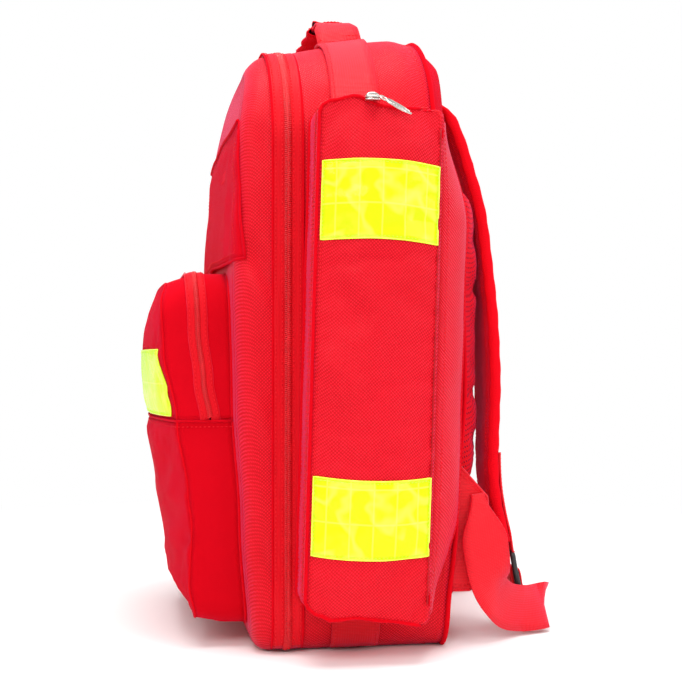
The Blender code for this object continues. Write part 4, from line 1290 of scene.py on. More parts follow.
def front_pocket():
    def lid_y(x, z):
        return between(LID_FACE, z) - 0.0015

    def corner_y(x, z):
        bulge = 0.0
        if z > POCKET_TOP - 0.0005:
            u = min(1.0, abs(x) / (POCKET_HALF_WIDTH - POCKET_CROWN))
            bulge = between(POCKET_BULGE, z) * (1 - u**2.4)
        return between(POCKET_CORNER, z) - bulge

    split = POCKET_SPLIT - 0.0005
    # Pouch below the flap.
    gusset = pocket_band(pocket_run(0.0, split), lid_y, corner_y, 8)
    gusset.shaped(pouch_dress)
    worn(panel("pouch_gusset", gusset, OXFORD, CLOTH, LINING), "lid", "oxford_fabric",
         "front_pocket")
    columns = [i / 24 for i in range(-24, 25)]
    levels = [(x, z) for x, z in arch(*POCKET_OUTLINE)
              if z < split - 0.001] + [(POCKET_HALF_WIDTH, split)]
    face = Sheet([[pocket_point(u, x, z) for u in columns] for x, z in levels], 1)
    settle(face, 2.5, 0.015, 0.004).shaped(pouch_dress)
    worn(panel("pouch_face", face, OXFORD, CLOTH, LINING), "lid", "oxford_fabric")
    corner = [(p, Vector((p.x, -0.05, 0)).normalized()) for p in gusset.rows[-1]]
    cord("pouch_corner", corner, 0.0009, PIPING, "lid")
    foot = [(p, Vector((0, -1, 0))) for p in gusset.rows[0]]
    cord("pouch_foot", foot, 0.0012, PIPING, "lid")

    # Hem along the top of the pouch.
    hem = [(row[-1], gusset.normal(1.0, i / 8)) for i, row in enumerate(gusset.rows)]
    hem = [(p + n * 0.0006, n) for p, n in hem]
    front = [(p, face.normal(j / 48, 1.0)) for j, p in enumerate(face.rows[-1])]
    whole = hem[:-1] + [(p + n * 0.0006, n) for p, n in reversed(front)]
    whole += [(Vector((-p.x, p.y, p.z)), Vector((-n.x, n.y, n.z))) for p, n in reversed(hem[:-1])]
    cord("pouch_hem", whole, 0.0011, OXFORD, "lid")
    thread("lid").stitches([(p + Vector((0, 0, -0.0045)) + n * 0.0004, n) for p, n in whole])

    # Band behind the zip, and the pocket's back.
    run = pocket_run(split + 0.001, 1.0)
    band = pocket_band(run, lid_y, lambda x, z: between(POCKET_ZIP, z) + 0.0007, 5)
    band.outward = -1
    worn(panel("pocket_band", band, OXFORD, CLOTH, LINING), "lid", "oxford_fabric")
    foot = [(p, Vector((0, -1, 0))) for p in band.rows[0]]
    cord("pocket_band_foot", foot, 0.0012, PIPING, "lid")
    rows = [[pocket_level(u * (x - 0.002), lid_y(x, z) - 0.0008, z) for u in columns]
            for x, z in arch(*POCKET_OUTLINE)]
    worn(panel("pocket_lining", Sheet(rows, 1), LINING, 0.0006), "lid", "lining_fabric")

    # Flap: wall in front of the zip, and the face.
    wall = pocket_band(run, lambda x, z: between(POCKET_ZIP, z) - 0.0007, corner_y, 6)
    wall.outward = -1
    wall.shaped(lambda p, u, v: 0.0008 * ruffle(p, 30.0, 2.0) * math.sin(math.pi * v))
    piece = panel("front_flap_wall", wall, OXFORD, CLOTH, LINING)
    worn(piece, "front_flap", "oxford_fabric", "front_pocket_flap")
    levels = [(POCKET_HALF_WIDTH, POCKET_SPLIT + 0.0005)]
    levels += [(x, z) for x, z in arch(*POCKET_OUTLINE) if z > POCKET_SPLIT + 0.002]
    face = Sheet([[pocket_point(u, x, z) for u in columns] for x, z in levels], 1)

    def dress(p, u, v):
        free = min(1.0, 12 * v * (1 - v)) * min(1.0, 12 * u * (1 - u))
        return free * (0.0018 * ruffle(p, 16.0, 8.0) + 0.0009 * ruffle(p, 50.0, 2.0))

    settle(face, 2.5, 0.012, 0.0035).shaped(dress)
    worn(panel("front_flap_face", face, OXFORD, CLOTH, LINING), "front_flap", "oxford_fabric")
    corner = [(p, Vector((p.x, -0.05, 0.02)).normalized()) for p in wall.rows[-1]]
    cord("front_flap_corner", corner, 0.0008, PIPING, "front_flap")
    closing = [(p, Vector((0, -0.5, 1)).normalized()) for p in face.rows[-1]]
    cord("front_flap_top", closing, 0.0008, PIPING, "front_flap")
    tree = tree_of(face)

    def taped(u, v):
        return Vector((FRONT_TAPE_HALF_WIDTH * (2 * u - 1), -0.16,
                       FRONT_TAPE_LOW + FRONT_TAPE_HEIGHT * v))

    made = patch("front_tape_skin", face, tree, grid(14, 36, taped).rows, (0, 1, 0), "front_flap",
                 "reflective_tape")
    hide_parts("front_tape")

    # Zip.
    for half, sheet, v, lead, rides in (("rear", band, 1.0, 1, "lid"),
                                        ("front", wall, 0.0, -1, "front_flap")):
        width = len(sheet.rows[0]) - 1
        marks = [(sheet.lift(j / width, v, 0.0006), sheet.normal(j / width, v))
                 for j in range(width + 1)]
        zip_along(f"front_zip_{half}", marks, Vector((0, lead, 0)), rides, 0.0072)


# ---- document pocket ----
COVER_FOLDS = (
    ((0.150, -0.103, 0.395), (0.095, -0.12, 0.335), 0.009, 0.0012),
    ((0.150, -0.103, 0.350), (0.140, -0.115, 0.318), 0.006, 0.0008),
    ((0.12, -0.11, 0.412), (0.06, -0.12, 0.372), 0.010, -0.0012),
)


def lid_section(u, z, out, half=None, turn=72):
    """A point out from the lid's front: u runs across, turn degrees round each corner."""
    wide = HALF_WIDTH
    if z > HEIGHT - TOP_RADIUS:
        rise = z - (HEIGHT - TOP_RADIUS)
        wide = HALF_WIDTH - TOP_RADIUS + math.sqrt(max(0.0, TOP_RADIUS**2 - rise**2))
    flat = wide - LID_ROUNDING
    reach = flat + LID_ROUNDING * math.radians(turn)
    s = abs(u) * (half or reach)
    sign = 1 if u >= 0 else -1
    face = between(LID_FACE, z) - LID_DOME * (1 - (min(s, flat) / flat) ** 2) * math.sin(
        math.pi * clamp(z / HEIGHT)) ** 0.7
    if s <= flat:
        return lifted(sign * s, face - out, z)
    a = (s - flat) / LID_ROUNDING
    x = flat + (LID_ROUNDING + out) * math.sin(a)
    y = face + LID_ROUNDING - (LID_ROUNDING + out) * math.cos(a)
    return lifted(sign * x, y, z)


def document_pocket():
    low, high = node_range("document_flap")
    columns = [i / 30 for i in range(-30, 31)]
    rows = []
    count = steps(high - low, 0.005)
    for i in range(count + 1):
        v = i / count
        z = high + 0.001 - (high + 0.001 - low) * v
        turn = 12 + 54 * v**1.3
        row = []
        for u in columns:
            proud = (0.0011 + 0.0026 * soft_step(v, 0.02, 0.22)
                     * (1 - 0.9 * soft_step(abs(u), 0.72, 0.84)))
            row.append(lid_section(u, z + 0.0010 * math.sin(u * 7), proud, None, turn))
        rows.append(row)
    flap = Sheet(rows, -1)

    def dress(p, u, v):
        free = min(1.0, 7 * v)
        height = 0.0013 * ruffle(p, 18.0, 3.0) + 0.0008 * ruffle(p, 46.0, 5.0)
        return free * (height + folds(p, COVER_FOLDS))

    flap.shaped(dress)
    piece = baked(panel("document_cover", flap, OXFORD, CLOTH, LINING))
    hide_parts("document_flap")
    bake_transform(piece)
    around = flap.path(((0.0, 0.07), (0.0, 1.0), (1.0, 1.0), (1.0, 0.07)), -0.0008, 0.005)
    cord("document_cover_edge", around, 0.0013, OXFORD, "document_flap")
    inside = flap.path(((0.025, 0.09), (0.025, 0.955), (0.975, 0.955), (0.975, 0.09)), 0.0003)
    thread("document_flap").stitches(inside)
    seam = flap.path(((0.0, 0.0), (1.0, 0.0)), 0.0004)
    cord("document_seam", seam, 0.0013, PIPING, "lid")

    low, high = node_range("document_sleeve")
    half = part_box("document_sleeve")[1].x
    rows = []
    for i in range(15):
        z = low + (high - low) * i / 14
        puff = 0.0012 + 0.0003 * math.sin(math.pi * i / 14)
        rows.append([lid_section(u, z, puff * (1 - abs(u) ** 14) + 0.0004, half) for u in columns])
    sleeve = Sheet(rows, 1)
    sleeve.shaped(lambda p, u, v: 0.0004 * ruffle(p, 30.0, 4.0))
    piece = panel("sleeve_panel", sleeve, OXFORD, 0.0009, LINING)
    worn(piece, "lid", "oxford_fabric", "document_sleeve")
    mouth = sleeve.path(((0.0, 1.0), (1.0, 1.0)), -0.0003)
    bound = strip("sleeve_binding", [(p - Vector((0, 0, 0.004)) + n * 0.0010, n) for p, n in mouth],
                  0.010, 0.0012, BINDING)
    worn(bound, "lid", "oxford_fabric")
    thread("lid").stitches([(p - Vector((0, 0, 0.007)) + n * 0.0018, n) for p, n in mouth])
    thread("lid").stitches(sleeve.path(((0.03, 0.98), (0.03, 0.04), (0.97, 0.04), (0.97, 0.98)),
                                       0.0003))


# ---- harness ----
STRAP_ROUTE = (  # point, width, turn in degrees
    ((0.058, 0.0672, 0.4440), 0.060, 0), ((0.058, 0.0785, 0.4325), 0.062, 0),
    ((0.062, 0.091, 0.398), 0.064, 4),
    ((0.068, 0.104, 0.350), 0.064, 4), ((0.076, 0.1105, 0.270), 0.062, 2),
    ((0.084, 0.1120, 0.200), 0.058, 2), ((0.091, 0.1095, 0.140), 0.052, 4),
    ((0.094, 0.112, 0.105), 0.047, 4), ((0.096, 0.1175, 0.076), 0.044, 0),
)
HARNESS_ROUTE = (  # point, direction across, of the lower webbing as it hangs
    ((0.1450, 0.0850, 0.1210), (0, 1, 0.25)), ((0.1485, 0.0880, 0.1000), (0, 1, 0.15)),
    ((0.1490, 0.0920, 0.0740), (0, 1, 0.25)), ((0.1440, 0.0985, 0.0450), (0, 0.85, 0.6)),
    ((0.1330, 0.1120, 0.0290), (0, 0.4, 1)), ((0.1200, 0.1310, 0.0228), (0, 0, 1)),
    ((0.1110, 0.1470, 0.0218), (0, 0, 1)), ((0.1040, 0.1550, 0.0218), (0, 0, 1)),
    ((0.0975, 0.1545, 0.0222), (-0.25, 0, 1)), ((0.0930, 0.1480, 0.0235), (-0.6, 0, 0.75)),
    ((0.0905, 0.1400, 0.0245), (-0.9, 0, 0.35)), ((0.0900, 0.1309, 0.0267), (-1, 0, 0)),
)
LOCK_AT = (0.0900, 0.1255, 0.0665)  # top bar of the right buckle
LOCK_TILT = math.radians(12)


def mirrored(p, sign):
    return Vector((p[0] * sign, p[1], p[2]))


def shoulder_strap(side, sign):
    body = f"shoulder_strap_{side}"
    route = STRAP_ROUTE
    line = smooth_line([p for p, _, _ in route], 0.006)
    count = len(line)
    widths, turns = [], []
    for i in range(count):
        at = i / (count - 1) * (len(route) - 1)
        k = min(int(at), len(route) - 2)
        share = soft_step(at - k, 0, 1)
        widths.append(route[k][1] + (route[k + 1][1] - route[k][1]) * share)
        turns.append(route[k][2] + (route[k + 1][2] - route[k][2]) * share)
    ups = []
    for i, turn in enumerate(turns):
        forward = (line[min(i + 1, count - 1)] - line[max(i - 1, 0)]).normalized()
        across = Vector((math.cos(math.radians(turn)), -math.sin(math.radians(turn)), 0))
        ups.append(mirrored(forward.cross(across).normalized(), sign) * -1)
    path = [mirrored(p, sign) for p in line]
    ups = [u if u.y > 0 else -u for u in ups]
    stations = frames_along(path, ups)

    def section(i):
        half = widths[i] / 2
        puff = 0.0010 * math.sin(i * 0.9) + 0.0008 * ruffle(path[i], 30.0, 2.0)
        full = 0.3 + 0.7 * soft_step(i, 0, 4)  # the end tucks in flat under its anchor
        edge = 0.0034 * full
        across = (-0.97, -0.86, -0.62, -0.3, 0.0, 0.3, 0.62, 0.86, 0.97)
        crown = (0.0, 0.0012, 0.0024, 0.0028, 0.0028, 0.0028, 0.0024, 0.0012, 0.0)
        top = [(s * half, edge + h * full + puff * h * 160) for s, h in zip(across, crown)]
        low = [(s * half, -edge - h * full - puff * h * 90) for s, h in zip(across, crown)]
        return [(-half, 0.0)] + top + [(half, 0.0)] + list(reversed(low))

    strap = loft(f"strap_pad_{side}", stations, section, [TWILL, HONEYCOMB])
    wide = len(section(0))
    for k, polygon in enumerate(strap.data.polygons[: (count - 1) * wide]):
        polygon.material_index = 1 if k % wide > wide // 2 else 0
    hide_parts(f"shoulder_strap_{side}")
    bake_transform(strap)

    for edge_sign in (-1, 1):
        outline = [(p + a * edge_sign * w / 2, u) for (p, a, u), w in zip(stations, widths)]

        def wrap(i):
            puff = 0.0003 * math.sin(i * 1.7) - 0.0028 * (1 - soft_step(i, 0, 4))
            made = []
            for angle in range(-110, 111, 20):
                t = math.radians(angle)
                made.append(((0.0014 + 0.0034 * math.cos(t) ** 2 * 0.4) * edge_sign * math.cos(t)
                             - (0.0050 if abs(angle) > 90 else 0) * edge_sign,
                             (0.0044 + puff) * math.sin(t)))
            return made

        bound = loft(f"strap_binding_{side}_{edge_sign + 1}",
                     frames_along([p for p, _ in outline], [n for _, n in outline]), wrap, BINDING)
        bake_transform(bound)
        for face in (1, -1):
            row = [(p - a * edge_sign * (0.0075 if face > 0 else 0.007) + a * edge_sign * w / 2
                    + u * face * 0.0052, u * face)
                    for (p, a, u), w in zip(stations[4:], widths[4:])]
            thread(body).stitches(row, lift=0.0004)

    # Webbing sewn along the strap's face down to the buckle, and the buckle's loop.
    low = len(stations) - 14
    marks = [(p + u * 0.0072, u) for p, a, u in stations[low:-1]]
    end, _, up = stations[-1]
    forward = (stations[-1][0] - stations[-3][0]).normalized()
    bar = mirrored(LOCK_AT, sign)
    marks.append((end + forward * 0.001 + up * 0.0066, up))
    marks.append((bar + up * 0.0030 + forward * -0.002, up))
    worn(strip(f"lock_webbing_{side}", marks, 0.036, 0.0016, WEBBING), body, "red_webbing")
    for off in (-0.0155, 0.0155):
        row = [(p + a * off + u * 0.0081, u) for p, a, u in stations[low:-1]]
        thread(body).stitches(row)
    for step in (0, 3):
        p, a, u = stations[low + step]
        thread(body).stitches([(p + a * t + u * 0.0081, u) for t in (-0.0155, 0.0, 0.0155)])
    loop = [bar + up * 0.0030, bar + forward * 0.0020 + up * 0.0014, bar + forward * 0.0022,
            bar + forward * 0.0020 - up * 0.0018, bar - up * 0.0030 - forward * 0.003,
            end - up * 0.0010]
    band = strip(f"lock_loop_{side}", [(p, up) for p in smooth_line(loop, 0.0015)], 0.036, 0.0014,
                 WEBBING)
    worn(band, body, "red_webbing")


def buckle(side, sign):
    """A three-bar buckle, hanging from its top bar."""
    body = f"ladder_lock_{side}"
    turn = Matrix.Rotation(LOCK_TILT, 3, "X")
    origin = mirrored(LOCK_AT, sign)
    half, below = 0.023, 0.034

    def local(x, y, z):
        return origin + turn @ Vector((x, y, z))

    parts = []
    corner = ring(half - 0.0015, -below + 0.0015, 0.0005, 0.004, 0.003, 0.002)[:-1]
    path = [local(x, 0.0006 * math.sin(z * 90), z) for x, z in corner]
    parts.append(tube(f"lock_frame_{side}", path, 0.0019, BLACK, turn @ Vector((0, 1, 0)), True,
                      1.25))
    for number, (z, y, thick) in enumerate(((-0.0165, 0.0004, 1.0), (-0.0315, 0.0, 1.2),
                                            (-0.0008, 0.0, 1.0))):
        path = [local(x, y, z) for x in (-half + 0.002, -0.01, 0.0, 0.01, half - 0.002)]
        parts.append(tube(f"lock_bar_{side}_{number}", path, 0.0020, BLACK,
                          turn @ Vector((0, 1, 0)), False, 1.1))
    teeth = Small()
    for k in range(-6, 7):
        teeth.brick(local(k * 0.0028, 0.0026, -0.0165), turn @ Vector((0.0008, 0, 0)),
                    turn @ Vector((0, 0, 0.0016)), turn @ Vector((0, 0.0006, 0)))
    parts.append(teeth.made(f"lock_teeth_{side}", BLACK))
    lip = [local(x, 0.0052 - 40 * x * x * 0.05, -below - 0.0002)
           for x in (-0.015, -0.0075, 0, 0.0075, 0.015)]
    parts.append(tube(f"lock_lip_{side}", lip, 0.0024, BLACK, turn @ Vector((0, 1, 0)), False, 0.7))
    for piece in parts:
        worn(piece, body, "black_plastic")
    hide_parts(f"ladder_lock_{side}")
    # The lower webbing passes behind the low bar, over the middle one and down in front.
    route = ((-0.0030, -0.0400), (-0.0034, -0.0315), (-0.0032, -0.0240), (-0.0022, -0.0150),
             (0.0002, -0.0126), (0.0034, -0.0146), (0.0040, -0.0200), (0.0036, -0.0270),
             (0.0044, -0.0340), (0.0068, -0.0430))
    threaded = smooth_line([local(0, y, z) for y, z in route], 0.0015)
    outline = strip_section(0.036, 0.0015)
    rights = [Vector((1, 0, 0))] * len(threaded)
    stations = [(p, a, a.cross((threaded[min(i + 1, len(threaded) - 1)]
                                - threaded[max(i - 1, 0)]).normalized()))
                for i, (p, a) in enumerate(zip(threaded, rights))]
    worn(loft(f"lock_threaded_{side}", stations, lambda i: outline, WEBBING), body, "red_webbing")


def harness_webbing(side, sign):
    """One webbing from the wing, under the bag's edge, and up to the buckle."""
    points = smooth_line([p for p, _ in HARNESS_ROUTE], 0.004)
    count = len(points)
    stations = []
    path = [mirrored(p, sign) for p in points]
    for i, p in enumerate(path):
        at = i / (count - 1) * (len(HARNESS_ROUTE) - 1)
        k = min(int(at), len(HARNESS_ROUTE) - 2)
        a = Vector(HARNESS_ROUTE[k][1]).normalized().lerp(
            Vector(HARNESS_ROUTE[k + 1][1]).normalized(), at - k).normalized()
        a = mirrored(a, sign)
        forward = (path[min(i + 1, count - 1)] - path[max(i - 1, 0)]).normalized()
        a = (a - forward * a.dot(forward)).normalized()
        stations.append((p, a, forward.cross(a).normalized()))

    def section(i):
        """Gathered where it is sewn to the wing, and flat from there on."""
        open_share = soft_step(i, 0, 11)
        return strip_section(WEBBING_WIDTH * (0.30 + 0.70 * open_share),
                             0.0036 - 0.0019 * open_share)

    band = loft(f"harness_webbing_{side}", stations, section, WEBBING)
    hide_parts(f"lower_webbing_{side}", f"webbing_tail_{side}")
    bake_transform(band)


def wing(side, sign):
    """Ribbed triangle of webbing between the seam of the back and the lower webbing."""
    x, seam = sign * 0.1430, 0.0650

    def webbed(t, share):
        top = Vector((x, seam + 0.029 * t, 0.150 - 0.032 * t))
        p = Vector((x, seam + 0.015 * t, 0.044)).lerp(top, share)
        bow = 0.0009 * math.sin(math.pi * share) * t + 0.0004 * ruffle(p, 40.0)
        return p + Vector((sign * bow, 0.02 * share * (1 - share) * t, 0))

    sheet = grid(20, 10, webbed, sign)
    piece = panel(f"wing_{side}", sheet, WEBBING, 0.0024, WEBBING)
    worn(piece, "root", "red_webbing", f"anchor_wing_{side}")
    around = sheet.path(((0.0, 0.0), (1.0, 0.0), (1.0, 1.0), (0.0, 1.0)), -0.001)
    cord(f"wing_edge_{side}", around, 0.0015, WEBBING, "root", "red_webbing", sides=6)
    for out in (0.0003, -0.0030):
        thread("root").stitches([(p, n * (1 if out > 0 else -1)) for p, n in
                                 sheet.path(((0.12, 0.04), (0.88, 0.04), (0.86, 0.96), (0.1, 0.95)),
                                            out)])


def strap_anchor(side, sign):
    """The sewn block that the shoulder strap hangs from."""
    low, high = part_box(f"strap_anchor_{side}")

    def sewn(u, v):
        across = 2 * u - 1
        swell = 0.0016 * (1 - across**4) * math.sin(math.pi * (8 * v + 1) / 10)
        return Vector((low.x + (high.x - low.x) * u, high.y - 0.0022 + swell,
                       low.z + (high.z - low.z) * v))

    sheet = grid(8, 24, sewn, -1)
    piece = panel(f"anchor_patch_{side}", sheet, WEBBING, 0.008)
    worn(piece, "root", "red_webbing", f"strap_anchor_{side}")
    box_x = ((0.06, 0.12), (0.94, 0.12), (0.94, 0.88), (0.06, 0.88), (0.06, 0.12), (0.94, 0.88))
    thread("root").stitches(sheet.path(box_x, 0.0003, 0.003))
    thread("root").stitches(sheet.path(((0.06, 0.88), (0.94, 0.12)), 0.0003, 0.003))


# ---- pads ----
PAD_PUFF = 0.0255


def pad(name, node, seam, seed):
    """A foam pad sewn to the back of the bag: a flat foot, steep sides and a soft face."""
    low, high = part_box(node)
    middle = (low + high) / 2
    half_x, half_z = (high.x - low.x) / 2, (high.z - low.z) / 2
    columns, levels = steps(half_x * 2, 0.0055), steps(half_z * 2, 0.0055)

    def domed(u, v):
        a, b = 2 * u - 1, 2 * v - 1
        round_x = a * math.sqrt(1 - 0.16 * (abs(b) ** 8) * (half_x / max(half_x, half_z)))
        round_z = b * math.sqrt(1 - 0.10 * (abs(a) ** 8))
        rise = (1 - abs(a) ** 5) ** 0.42 * (1 - abs(b) ** (5 * half_z / half_x)) ** 0.42
        return Vector((middle.x + round_x * half_x, seam + PAD_PUFF * rise,
                       middle.z + round_z * half_z))

    sheet = grid(levels, columns, domed, -1)

    def dress(p, u, v):
        free = min(1.0, 16 * u * (1 - u) * v * (1 - v) * 2)
        side = 1 - min(1.0, 22 * u * (1 - u) * v * (1 - v))
        gathers = 0.0009 * side * math.sin((p.z + p.x) * 420 + 2 * ruffle(p, 30.0, seed))
        quilt = 0.0
        for t in (1 / 3, 2 / 3):
            dip = 0.0034 * math.exp(-(((v - t) * 2 * half_z / 0.0045) ** 2))
            quilt -= dip * min(1.0, 20 * u * (1 - u))
        return (gathers + 0.0012 * ruffle(p, 20.0, seed) + quilt) * free

    settle(sheet, 4.0, 0.02, 0.004).shaped(dress)
    worn(panel(name, sheet, AIR_MESH, 0.0022, LINING), "root", "padding_fabric", node)
    for t in (1 / 3, 2 / 3):
        thread("root").stitches(sheet.path(((0.04, t), (0.96, t)), 0.0001))
    rim = sheet.path(((0.0, 0.0), (1.0, 0.0), (1.0, 1.0), (0.0, 1.0), (0.0, 0.0)), 0.0)[:-1]
    rim = [p + Vector((0, 0.0006, 0)) for p, _ in rim]
    worn(tube(name + "_binding", rim, 0.0022, BINDING, (0, 1, 0), closed=True), "root",
         "padding_fabric")


def back_pads():
    for side, _ in SIDES:
        pad(f"pad_{side}", f"back_pad_{side}", REAR_Y + 0.0050, 3.0)
    pad("pad_lumbar", "lumbar_pad", REAR_Y + 0.0006, 8.0)


# ---- inside ----
INNER_OUTLINE = (0.138, 0.008, 0.450, 0.02, 0.079)
LOOPS = 7  # of the elastic band


def covered_board(name, node, rows):
    """Lining with a stiff board behind it, its outline showing."""
    low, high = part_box(node)
    sheet = Sheet(rows)

    def dress(p, u, v):
        inside = 1.0
        for k in range(3):
            if high[k] - low[k] > 0.01:
                inside *= soft_step(p[k], low[k] - 0.002, low[k] + 0.002)
                inside *= 1 - soft_step(p[k], high[k] - 0.002, high[k] + 0.002)
        return 0.0014 * inside + 0.0004 * ruffle(p, 30.0, 2.0)

    sheet.shaped(dress)
    worn(panel(name, sheet, LINING, LINER), "root", "lining_fabric", node)
    return sheet


def interior():
    columns = [i / 40 for i in range(-40, 41)]
    wall_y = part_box("instrument_loops")[1].y + 0.0010
    rows = [[Vector((u * x, wall_y, z)) for u in columns] for x, z in arch(*INNER_OUTLINE)]
    back = covered_board("back_lining", "back_board", rows)
    thread("root").stitches(back.path(((0.03, 0.05), (0.97, 0.05)), 0.0004))
    low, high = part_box("base_board")
    rows = [[Vector((u * 0.130, low.y - 0.003 + (high.y - low.y + 0.006) * i / 24, high.z + 0.0006))
             for u in columns] for i in range(25)]
    base = covered_board("base_lining", "base_board", rows)
    thread("root").stitches(base.path(((0.01, 0.03), (0.99, 0.03), (0.99, 0.97), (0.01, 0.97),
                                       (0.01, 0.03)),
                                      0.0004))

    for node in ("divider_lower", "divider_upper"):
        low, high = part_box(node)
        thick, depth = high.z - low.z, high.y - low.y
        outline = strip_section(depth - 0.003, thick - 0.0012, 0.0007)
        path = [Vector((low.x + 0.001 + (high.x - low.x - 0.002) * i / 60, (low.y + high.y) / 2,
                        (low.z + high.z) / 2 + 0.0005 * ruffle((i * 0.1, 0, 0), 3.0)))
                        for i in range(61)]
        board = loft(node + "_cover", frames_along(path, (0, 0, 1)), lambda i: outline, LINING)
        worn(board, "root", "lining_fabric", node)
        for y, far in ((low.y + 0.0016, 1), (high.y - 0.0016, -1)):
            edge = tube(f"{node}_binding_{far + 1}", [Vector((p.x, y, p.z)) for p in path], 0.0030,
                        BINDING,
                        (0, 0, 1), flat=1.0)
            worn(edge, "root", "oxford_fabric")
            thread("root").stitches([(Vector((p.x, y + far * 0.0045, high.z)), Vector((0, 0, 1)))
                                     for p in path])

    low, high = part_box("instrument_loops")
    pitch = (high.x - low.x) / LOOPS

    def looped(u, v):
        lift = abs(math.sin(math.pi * LOOPS * u)) ** 0.75
        return Vector((low.x + (high.x - low.x) * u, high.y - 0.0016 - 0.0105 * lift,
                       low.z + (high.z - low.z) * v))

    worn(panel("loops_band", grid(10, 20 * LOOPS, looped), WEBBING, 0.0014), "root", "red_webbing",
         "instrument_loops")
    for k in range(LOOPS + 1):
        x = low.x + pitch * k + (0.002 if k == 0 else -0.002 if k == LOOPS else 0)
        for off in (-0.0008, 0.0008):
            thread("root").stitches([(Vector((x + off, high.y - 0.0024, z)), Vector((0, -1, 0)))
                                     for z in (low.z + 0.003, high.z - 0.003)])

    low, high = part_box("lid_mesh_pocket")

    def hung(t, v):
        u, z = 2 * t - 1, low.z + (high.z - low.z) * v
        y = (between(LID_FACE, z) + WALL + 0.0035 + 0.0030 * v**2 * (1 - u * u)
             + 0.0006 * ruffle((u, z, 0), 9.0))
        return Vector((u * high.x, y, z))

    net = grid(24, 80, hung, -1)
    worn(panel("net_pocket", net, NET), "lid", "lining_fabric", "lid_mesh_pocket")
    for number, ends in enumerate((((0.0, 1.0), (0.0, 0.0), (1.0, 0.0), (1.0, 1.0)),
                                   ((0.0, 1.0), (1.0, 1.0)))):
        marks = net.path(ends, 0.0006, 0.006)
        worn(strip(f"net_binding_{number}", marks, 0.011, 0.0014, BINDING), "lid", "oxford_fabric")
        thread("lid").stitches([(p + n * 0.0008, n) for p, n in marks])


def hinges():
    """Cloth that joins each lid or flap to what it opens from."""
    reach = HALF_WIDTH - FOOT_RADIUS - 0.002
    rows = [[Vector((x / 20 * reach, y, 0.0047)) for x in range(-20, 21)]
            for y in [ZIP_Y - 0.018 + 0.036 * i / 12 for i in range(13)]]
    piece = baked(panel("base_hinge", Sheet(rows, 1), OXFORD, 0.0012))
    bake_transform(piece)

    rows = []
    for i in range(9):
        z = POCKET_SPLIT - 0.010 + 0.020 * i / 8
        rows.append([pocket_point(u / 20 * 0.42, POCKET_HALF_WIDTH, z) + Vector((0, 0.0024, 0))
                     for u in range(-20, 21)])
    piece = baked(panel("front_flap_hinge", Sheet(rows, 1), LINING, LINER))
    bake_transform(piece)

    for side, sign in SIDES:
        rows = []
        for i in range(9):
            out = SIDE_DEPTH - 0.006 + 0.013 * i / 8
            rows.append([side_point(sign, SIDE_HALF_WIDTH - 0.0022, out, up / 20 * 0.182)
                         for up in range(-20, 21)])
        piece = baked(panel(f"side_hinge_{side}", Sheet(rows, 1), LINING, LINER))
        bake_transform(piece)


# ---- sliders and pull tabs ----
def slider(node, along, out, shift=(0, 0, 0)):
    """A zip slider in the box of its CAD node: two plates, a wedge between them and a bridge."""
    low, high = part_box(node)
    centre = (low + high) / 2 + Vector(shift)
    along, out = Vector(along), Vector(out).normalized()
    across = out.cross(along).normalized()
    size = [abs((high - low).dot(d)) for d in (along, across, out)]
    length, width, height = 0.0108, min(size[1], 0.0080), 0.0036
    base = centre - out * size[2] / 2
    made = []
    widths = (0.52, 0.80, 0.97, 1.0, 0.98, 0.84, 0.60)
    for number, (level, thick) in enumerate(((0.0009, 0.0011), (height - 0.0008, 0.0013))):
        stations = []
        for i in range(7):
            p = base + along * length * (i / 6 - 0.5) + out * level
            stations.append((p, across, out))
        made.append(loft(f"{node}_plate_{number}", stations,
                         lambda i, t=thick: strip_section(width * widths[i], t, t * 0.25), NICKEL))
    wedge = [(base + along * length * t + out * height / 2, across, out) for t in (0.15, 0.3, 0.42)]
    made.append(loft(node + "_wedge", wedge,
                     lambda i: strip_section(width * (0.18, 0.34, 0.30)[i], height * 0.7), NICKEL))
    arch_path = [base + along * length * s + out * (height + h) for s, h in
                 ((-0.36, -0.0006), (-0.34, 0.0007), (-0.22, 0.0016), (0.0, 0.0019), (0.22, 0.0016),
                  (0.34, 0.0007), (0.36, -0.0006))]
    made.append(tube(node + "_bridge", smooth_line(arch_path, 0.0012), 0.0011, NICKEL, across,
                     flat=0.62))
    for piece in made:
        worn(piece, node, "zip_metal")
    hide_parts(node)


def pull(node, pivot, along, face, length):
    """A cast tab that hangs from its eye, in its CAD node's box, its broad side towards face."""
    pivot, along = Vector(pivot), Vector(along).normalized()
    face = Vector(face)
    face = (face - along * face.dot(along)).normalized()
    across = face.cross(along).normalized()
    eye = []
    for k in range(20):
        t = 2 * math.pi * k / 20
        eye.append(pivot + along * (0.0022 + 0.0030 * math.cos(t)) + across * 0.0027 * math.sin(t))
    made = [tube(node + "_eye", eye, 0.00068, NICKEL, face, closed=True)]
    shape = ((0.0046, 0.0020), (0.0060, 0.0034), (0.0100, 0.0036), (length - 0.011, 0.0042),
             (length - 0.006, 0.0034), (length - 0.002, 0.0018), (length, 0.0009))
    stations = [(pivot + along * s, across, face) for s, _ in shape]
    made.append(loft(node + "_tab", stations,
                     lambda i: strip_section(shape[i][1] * 2, 0.0012, 0.0002), NICKEL))
    rim = [pivot + along * s + across * w * 0.84 + face * 0.0007 for s, w in shape[1:-1]]
    rim += [pivot + along * s - across * w * 0.84 + face * 0.0007 for s, w in reversed(shape[1:-1])]
    made.append(tube(node + "_rim", rim, 0.00034, NICKEL, face, closed=True, sides=6))
    grip = Small()
    for k in range(5):
        at = pivot + along * (length * 0.42 + k * 0.0024) + face * 0.0006
        grip.brick(at, along * 0.0005, across * 0.0022, face * 0.0003)
    made.append(grip.made(node + "_ridges", NICKEL))
    for piece in made:
        worn(piece, node, "zip_metal")
    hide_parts(node)


